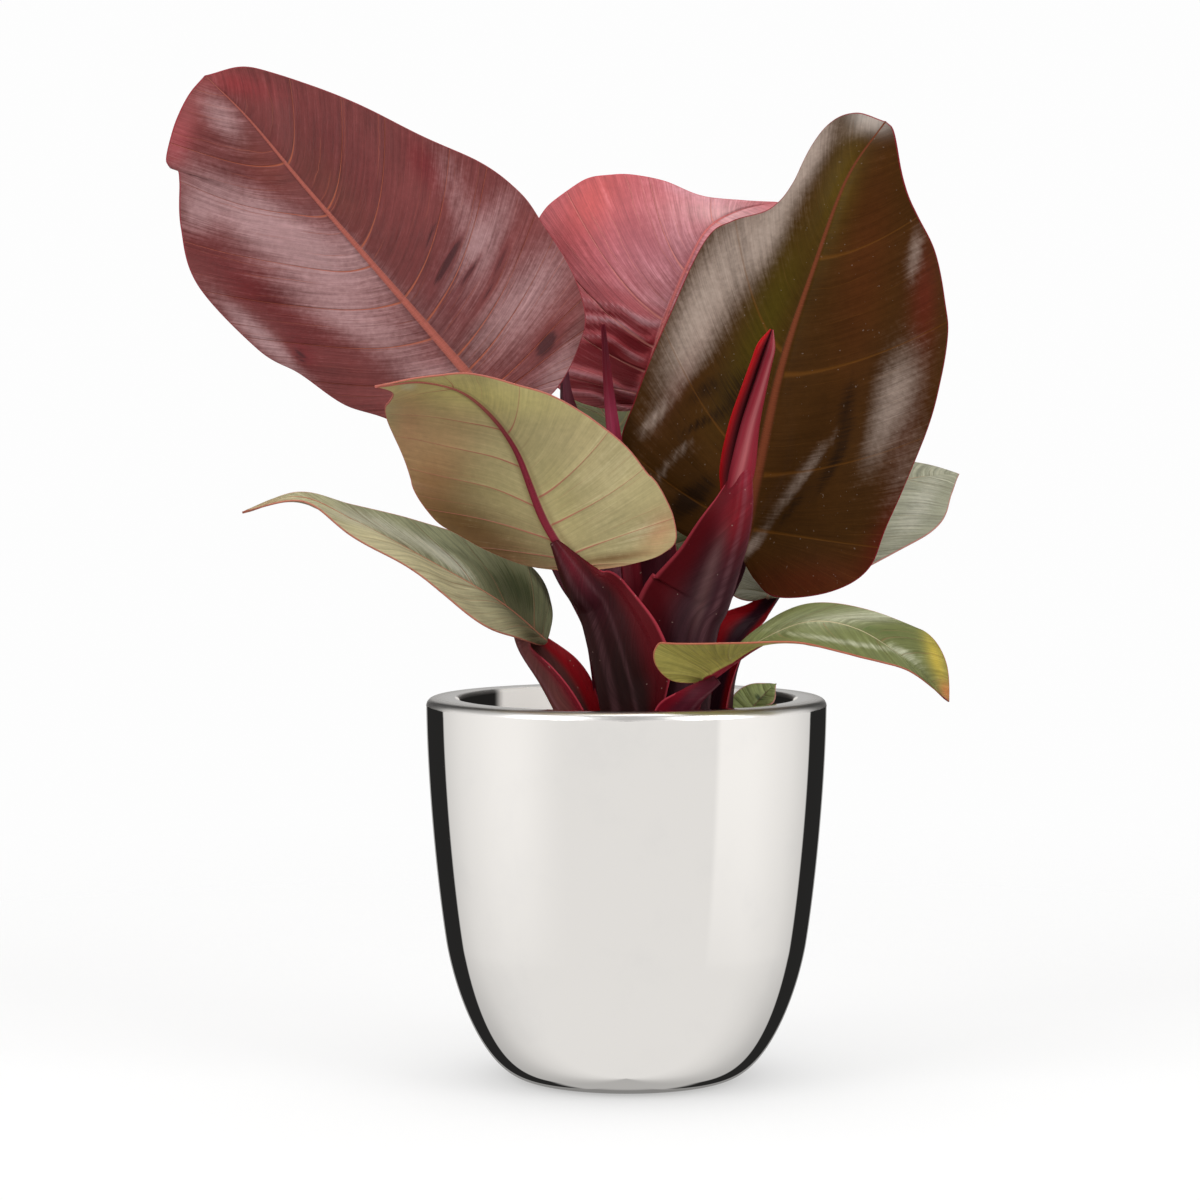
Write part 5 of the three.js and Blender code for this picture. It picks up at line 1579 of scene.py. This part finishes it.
# %% Building a stalk
STALK_ROWS = 110
LEAST_WING = 0.5
LEAST_RADIUS = 0.4
WIDE_WING = 4
NO_WING = (0, 0)


def tube_faces(rows, sides):
    """The faces of a row of rings, with a fan over each end round a point of its own."""
    count = rows * sides
    last = count - sides
    start = [(count, (j + 1) % sides, j) for j in range(sides)]
    end = [(count + 1, last + j, last + (j + 1) % sides) for j in range(sides)]
    return grid_faces(rows, sides, closed=True) + start + end


def with_ends(values):
    """The values of the rings' points, and after them the mean of the first and of the last ring."""
    return np.concatenate([values.reshape(-1, values.shape[-1]), values[[0, -1]].mean(axis=1)])


def build_stalk(name, stalk, look, seed):
    axis = MiddleLine(stalk_path(stalk), stalk["face"])
    u = np.linspace(0, 1, STALK_ROWS)
    at, _, up, left = axis.frame(u * axis.length)
    radius, *wings = (smooth_curve(stalk.get(key, NO_WING), u) for key in ("radius", "left", "right"))
    rings = []
    for size, left_wing, right_wing in zip(np.maximum(radius, LEAST_RADIUS), *wings):
        section = stalk_section(size, max(left_wing, LEAST_WING), max(right_wing, LEAST_WING))
        wing = np.where(section[:, 0] > 0, left_wing, right_wing)
        rings.append(np.column_stack([section, ON_WING * np.clip(wing / WIDE_WING, 0, 1), IN_GROOVE]))
    rings = rounded(np.array(rings))
    points = at[:, None] + left[:, None] * rings[..., :1] + up[:, None] * rings[..., 1:2]
    rows, sides = points.shape[:2]
    around = np.cumsum(np.linalg.norm(points - np.roll(points, 1, axis=1), axis=2), axis=1)
    along = np.broadcast_to((u * axis.length)[:, None], around.shape)
    path = np.stack([along, around, np.full_like(around, seed)], axis=-1)
    turn = np.broadcast_to(np.arange(sides) / sides, around.shape)
    form = np.stack([rings[..., 2], rings[..., 3], turn], axis=-1)
    tints_and_painted_light = painted(rgb(look["skin"]), seen_at(points), look["tints_and_painted_light"])
    return make_piece("stalk_" + name, with_ends(points), tube_faces(rows, sides),
                      stalk_finish(name, look), name,
                      {"path": with_ends(path), "form": with_ends(form)}, {"tint": with_ends(tints_and_painted_light)})


print("stalks have", STALK_ROWS, "rings")

# %% [markdown]
# ## The skin of the stalks
# The skin is smooth and dark, purple brown to nearly black, with soft lengthwise streaks and two thin
# painted highlights. It reddens on the wings, and their edges are a fine bright line. A few pale
# specks lie on the older stalks. The wet shine is broad, so the roughness is low but not a mirror's.

# %% Colours of each stalk
WING_EDGE = (196, 66, 82)
SPECK_COLOUR = (190, 160, 150)
# What a stalk has where its own look doesn't say otherwise.
PLAIN_STALK = {"wing": (110, 24, 40), "inside": (96, 18, 34), "glint": (140, 96, 104), "tints_and_painted_light": ()}
STALK_LOOKS = {
    "petiole_front_left": {
        "skin": (44, 13, 14), "wing": (102, 12, 23), "inside": (98, 12, 22), "glint": (112, 74, 80),
        "tints_and_painted_light": (
            (590, 590, 40, 12, -60, 0.6, (66, 20, 34)), (570, 560, 30, 10, -60, 0.8, (108, 26, 40)),
            # The last spot on this line, nearly black low down by the pot's rim, is painted shade.
            (640, 640, 50, 16, -60, 0.6, (82, 18, 28)), (616, 684, 50, 26, 90, 0.75, (26, 8, 8)),
        ),
    },
    "petiole_front_right": {"skin": (84, 26, 40), "wing": (130, 18, 36), "inside": (110, 18, 34)},
    "petiole_new": {
        "skin": (62, 30, 38), "wing": (104, 10, 22), "inside": (114, 10, 18),
        "tints_and_painted_light": (
            (752, 468, 34, 22, 80, 1.0, (150, 34, 54)), (735, 515, 40, 20, 75, 0.85, (136, 18, 32)),
            # The last spot on this line and the next one, a pale streak down the right side, are painted
            # sheen.
            (705, 620, 60, 18, 70, 0.5, (58, 30, 38)), (711, 568, 36, 6, 70, 0.75, (132, 94, 96)),
            (702, 604, 28, 5, 74, 0.5, (112, 78, 78)),
        ),
    },
    "petiole_lower_left": {"skin": (104, 56, 54), "wing": (126, 18, 36), "inside": (160, 14, 26)},
    "petiole_back_right": {"skin": (62, 26, 40), "wing": (150, 22, 44), "inside": (166, 12, 26)},
    "petiole_right_large": {"skin": (60, 26, 34)},
    "petiole_left_large": {"skin": (78, 28, 40)},
    "petiole_back_centre": {"skin": (84, 24, 38)},
    "petiole_back": {"skin": (60, 26, 34)},
    "petiole_small": {"skin": (110, 70, 60)},
    "spike": {
        "skin": (108, 20, 34),
        "tints_and_painted_light": ((607, 345, 26, 8, 90, 0.7, (70, 16, 30)), (612, 420, 30, 10, 90, 0.7, (150, 50, 80))),
    },
    "bract": {"skin": (120, 62, 76), "tints_and_painted_light": ((574, 400, 40, 7, 80, 0.8, (84, 14, 30)),)},
}
print("looks for", len(STALK_LOOKS), "stalks")

# %% Stalk finish and the stalks
# Two thin highlights are painted along the round back of a stalk. Each is given by the parts of
# the way round where it begins and is full, and where it fades and ends.
GLINTS = ((0.66, 0.71, 0.72, 0.77), (0.84, 0.88, 0.88, 0.93))


def stalk_finish(name, look):
    finish = Finish("stalk " + name.replace("_", " "), Specular_IOR_Level=0.1)
    along, around, seed = finish.split(finish.attribute("path"))
    wing, inner, turn = finish.split(finish.attribute("form"))
    streak = finish.noise(finish.vector(along * 0.02, around * 0.45, seed * 7), 1, 4, 0.6)
    fine = finish.noise(finish.vector(along * 0.07, around * 2.2, seed * 7 + 3), 1, 2, 0.5)
    place = finish.place()
    specks = finish.noise(place, 520, 1, 0.5).above(0.77, 0.8)
    mottle = finish.noise(place, 70, 4, 0.6)
    colour = finish.brighten(finish.attribute("tint"), 0.1 + 0.9 * streak + 0.5 * fine + 0.4 * mottle)
    first, second = (turn.above(*glint[:2]) * turn.below(*glint[2:]) for glint in GLINTS)
    glints = first.math("MAXIMUM", second) * (1.6 * streak + 0.8 * fine - 0.7)
    colour = finish.mix(glints.math("MAXIMUM", 0) * 0.45, colour, srgb(*look["glint"]))
    inside = inner.above(0.4, 0.8)
    inside_colour = finish.brighten(rgb(look["inside"]), 0.7 + 0.6 * streak)
    colour = finish.mix(inside * wing.above(0.05, 0.5), colour, inside_colour)
    colour = finish.mix(wing.above(0.15, 0.75) * (1 - inside) * 0.85, colour, srgb(*look["wing"]))
    colour = finish.mix(wing.above(0.9, 0.97) * 0.8, colour, srgb(*WING_EDGE))
    colour = finish.mix(specks * 0.55, colour, srgb(*SPECK_COLOUR))
    roughness = 0.3 + 0.2 * mottle + 0.1 * (1 - fine)
    return finish.surface(colour, roughness, 0.6 * streak + 0.3 * fine + 0.1 * mottle, 0.3)


for seed, (name, stalk) in enumerate(STALKS.items()):
    piece = build_stalk(name, stalk, {**PLAIN_STALK, **STALK_LOOKS[name]}, seed)
    print(piece.name, len(piece.data.polygons), "faces")

# %% [markdown]
# ## The rolled new leaf
# The youngest leaf is still rolled up, and is the brightest thing on the plant. It is a slim cone of
# two rolls that meet in a deep seam, which is darkened with painted shade. A section with that seam is
# laid along its middle line, and the left roll is scarlet while the right one is crimson with a
# painted pink highlight on it.

# %% Rolled leaf
ROLL = {
    "path": [[44.5, -20.5, 249], [46, -21, 257], [49, -23, 277], [53, -26, 293], [57.5, -29, 309],
             [60, -30, 317]],
    "face": [[-0.3, -0.95, 0.1], [-0.3, -0.95, 0.1], [-0.3, -0.95, 0.1]],
    "radius": [5.4, 7.1, 7.4, 7.0, 6.5, 6.0, 5.5, 5.0, 4.5, 3.9, 0.8],
    "flatness": 0.72,
}
ROLL_ROWS = 90
ROLL_SIDES = 96
ROLL_LEAST_RADIUS = 0.3
# Places round the roll and widths there are in degrees from the seam.
SEAM = {"turn": (42, 100), "bottom": 0.4, "width": 16, "painted_shade_width": 26}
ROLL_LIP = {"height": 0.05, "place": 40, "width": 18}
# The pink light is a highlight painted on the right roll.
PINK_LIGHT = {"strength": 0.7, "place": 62, "width": 13}
SCARLET_START = (160, 210)
SCARLET_END = (360, 330)
# The seam's colour is painted shade, and the light's colour a painted highlight.
ROLL_COLOURS = {"scarlet": (186, 6, 18), "crimson": (150, 38, 54), "seam": (40, 2, 6),
                "light": (200, 116, 120)}


def roll_finish():
    finish = Finish("rolled leaf", Specular_IOR_Level=0.12)
    along, around, _ = finish.split(finish.attribute("path"))
    streak = finish.noise(finish.vector(along * 0.03, around * 0.6, 4), 1, 4, 0.6)
    fine = finish.noise(finish.vector(along * 0.1, around * 2.6, 8), 1, 2, 0.5)
    colour = finish.brighten(finish.attribute("tint"), 0.5 + 0.6 * streak + 0.4 * fine)
    return finish.surface(colour, 0.3 + 0.2 * streak, 0.6 * streak + 0.4 * fine, 0.2)


def roll_colours_and_painted_light(degrees, from_seam):
    """The colours round the roll: scarlet on the left, crimson with a painted pink highlight, and
    painted shade in the seam.
    """
    scarlet, crimson, dark, pink = (rgb(colour) for colour in ROLL_COLOURS.values())
    left = (smooth_step(*SCARLET_END, degrees) * smooth_step(*SCARLET_START, degrees))[:, None]
    # A painted pink highlight on the right roll, and painted shade in the seam.
    light = PINK_LIGHT["strength"] * hump(degrees, PINK_LIGHT["place"], PINK_LIGHT["width"])[:, None]
    seam = hump(from_seam, 0, SEAM["painted_shade_width"])[:, None]
    colours = scarlet * left + crimson * (1 - left)
    colours = colours * (1 - light) + pink * light
    return colours * (1 - seam) + dark * seam


def build_roll():
    axis = MiddleLine(ROLL["path"], ROLL["face"])
    u = np.linspace(0, 1, ROLL_ROWS)
    at, _, up, left = axis.frame(u * axis.length)
    radius = np.maximum(smooth_curve(ROLL["radius"], u), ROLL_LEAST_RADIUS)
    degrees = np.linspace(0, 360, ROLL_SIDES, endpoint=False)
    from_seam = np.minimum(degrees, 360 - degrees)
    reach = radius[:, None] * (1 - (1 - SEAM["bottom"]) * hump(from_seam, 0, SEAM["width"]))
    reach = reach * (1 + ROLL_LIP["height"] * hump(from_seam, ROLL_LIP["place"], ROLL_LIP["width"]))
    seam_start, seam_end = SEAM["turn"]
    angle = np.radians(seam_start + (seam_end - seam_start) * u[:, None] + degrees)
    points = at[:, None] + left[:, None] * (reach * np.cos(angle))[..., None]
    points = points + up[:, None] * (reach * ROLL["flatness"] * np.sin(angle))[..., None]
    around = np.broadcast_to(np.radians(degrees), reach.shape) * 7
    along = np.broadcast_to((u * axis.length)[:, None], reach.shape)
    path = np.stack([along, around, 0 * around], axis=-1)
    tints_and_painted_light = np.broadcast_to(roll_colours_and_painted_light(degrees, from_seam), points.shape)
    return make_piece("rolled_new_leaf", with_ends(points), tube_faces(ROLL_ROWS, ROLL_SIDES),
                      roll_finish(), "rolled_leaf",
                      {"path": with_ends(path)}, {"tint": with_ends(tints_and_painted_light)})


rolled = build_roll()
print(rolled.name, len(rolled.data.polygons), "faces")

# %% [markdown]
# ## The crown stem
# The short stem that all the leaves grow from hides among the stalks' feet, half in the soil. Its
# plain solid is right as it is, so it only gets a corky brown skin.

# %% Crown stem
CORK_COLOURS = ((58, 34, 28), (112, 82, 62))


def bark_finish():
    finish = Finish("crown bark", Roughness=0.8)
    cork = finish.noise(finish.place(), 240, 5, 0.65)
    colour = finish.mix(cork.above(0.35, 0.65), *(srgb(*shade) for shade in CORK_COLOURS))
    return finish.surface(colour, relief=cork, relief_depth=0.8)


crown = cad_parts["crown_stem"]
crown.data.materials.clear()
crown.data.materials.append(bark_finish())
print("crown stem dressed")
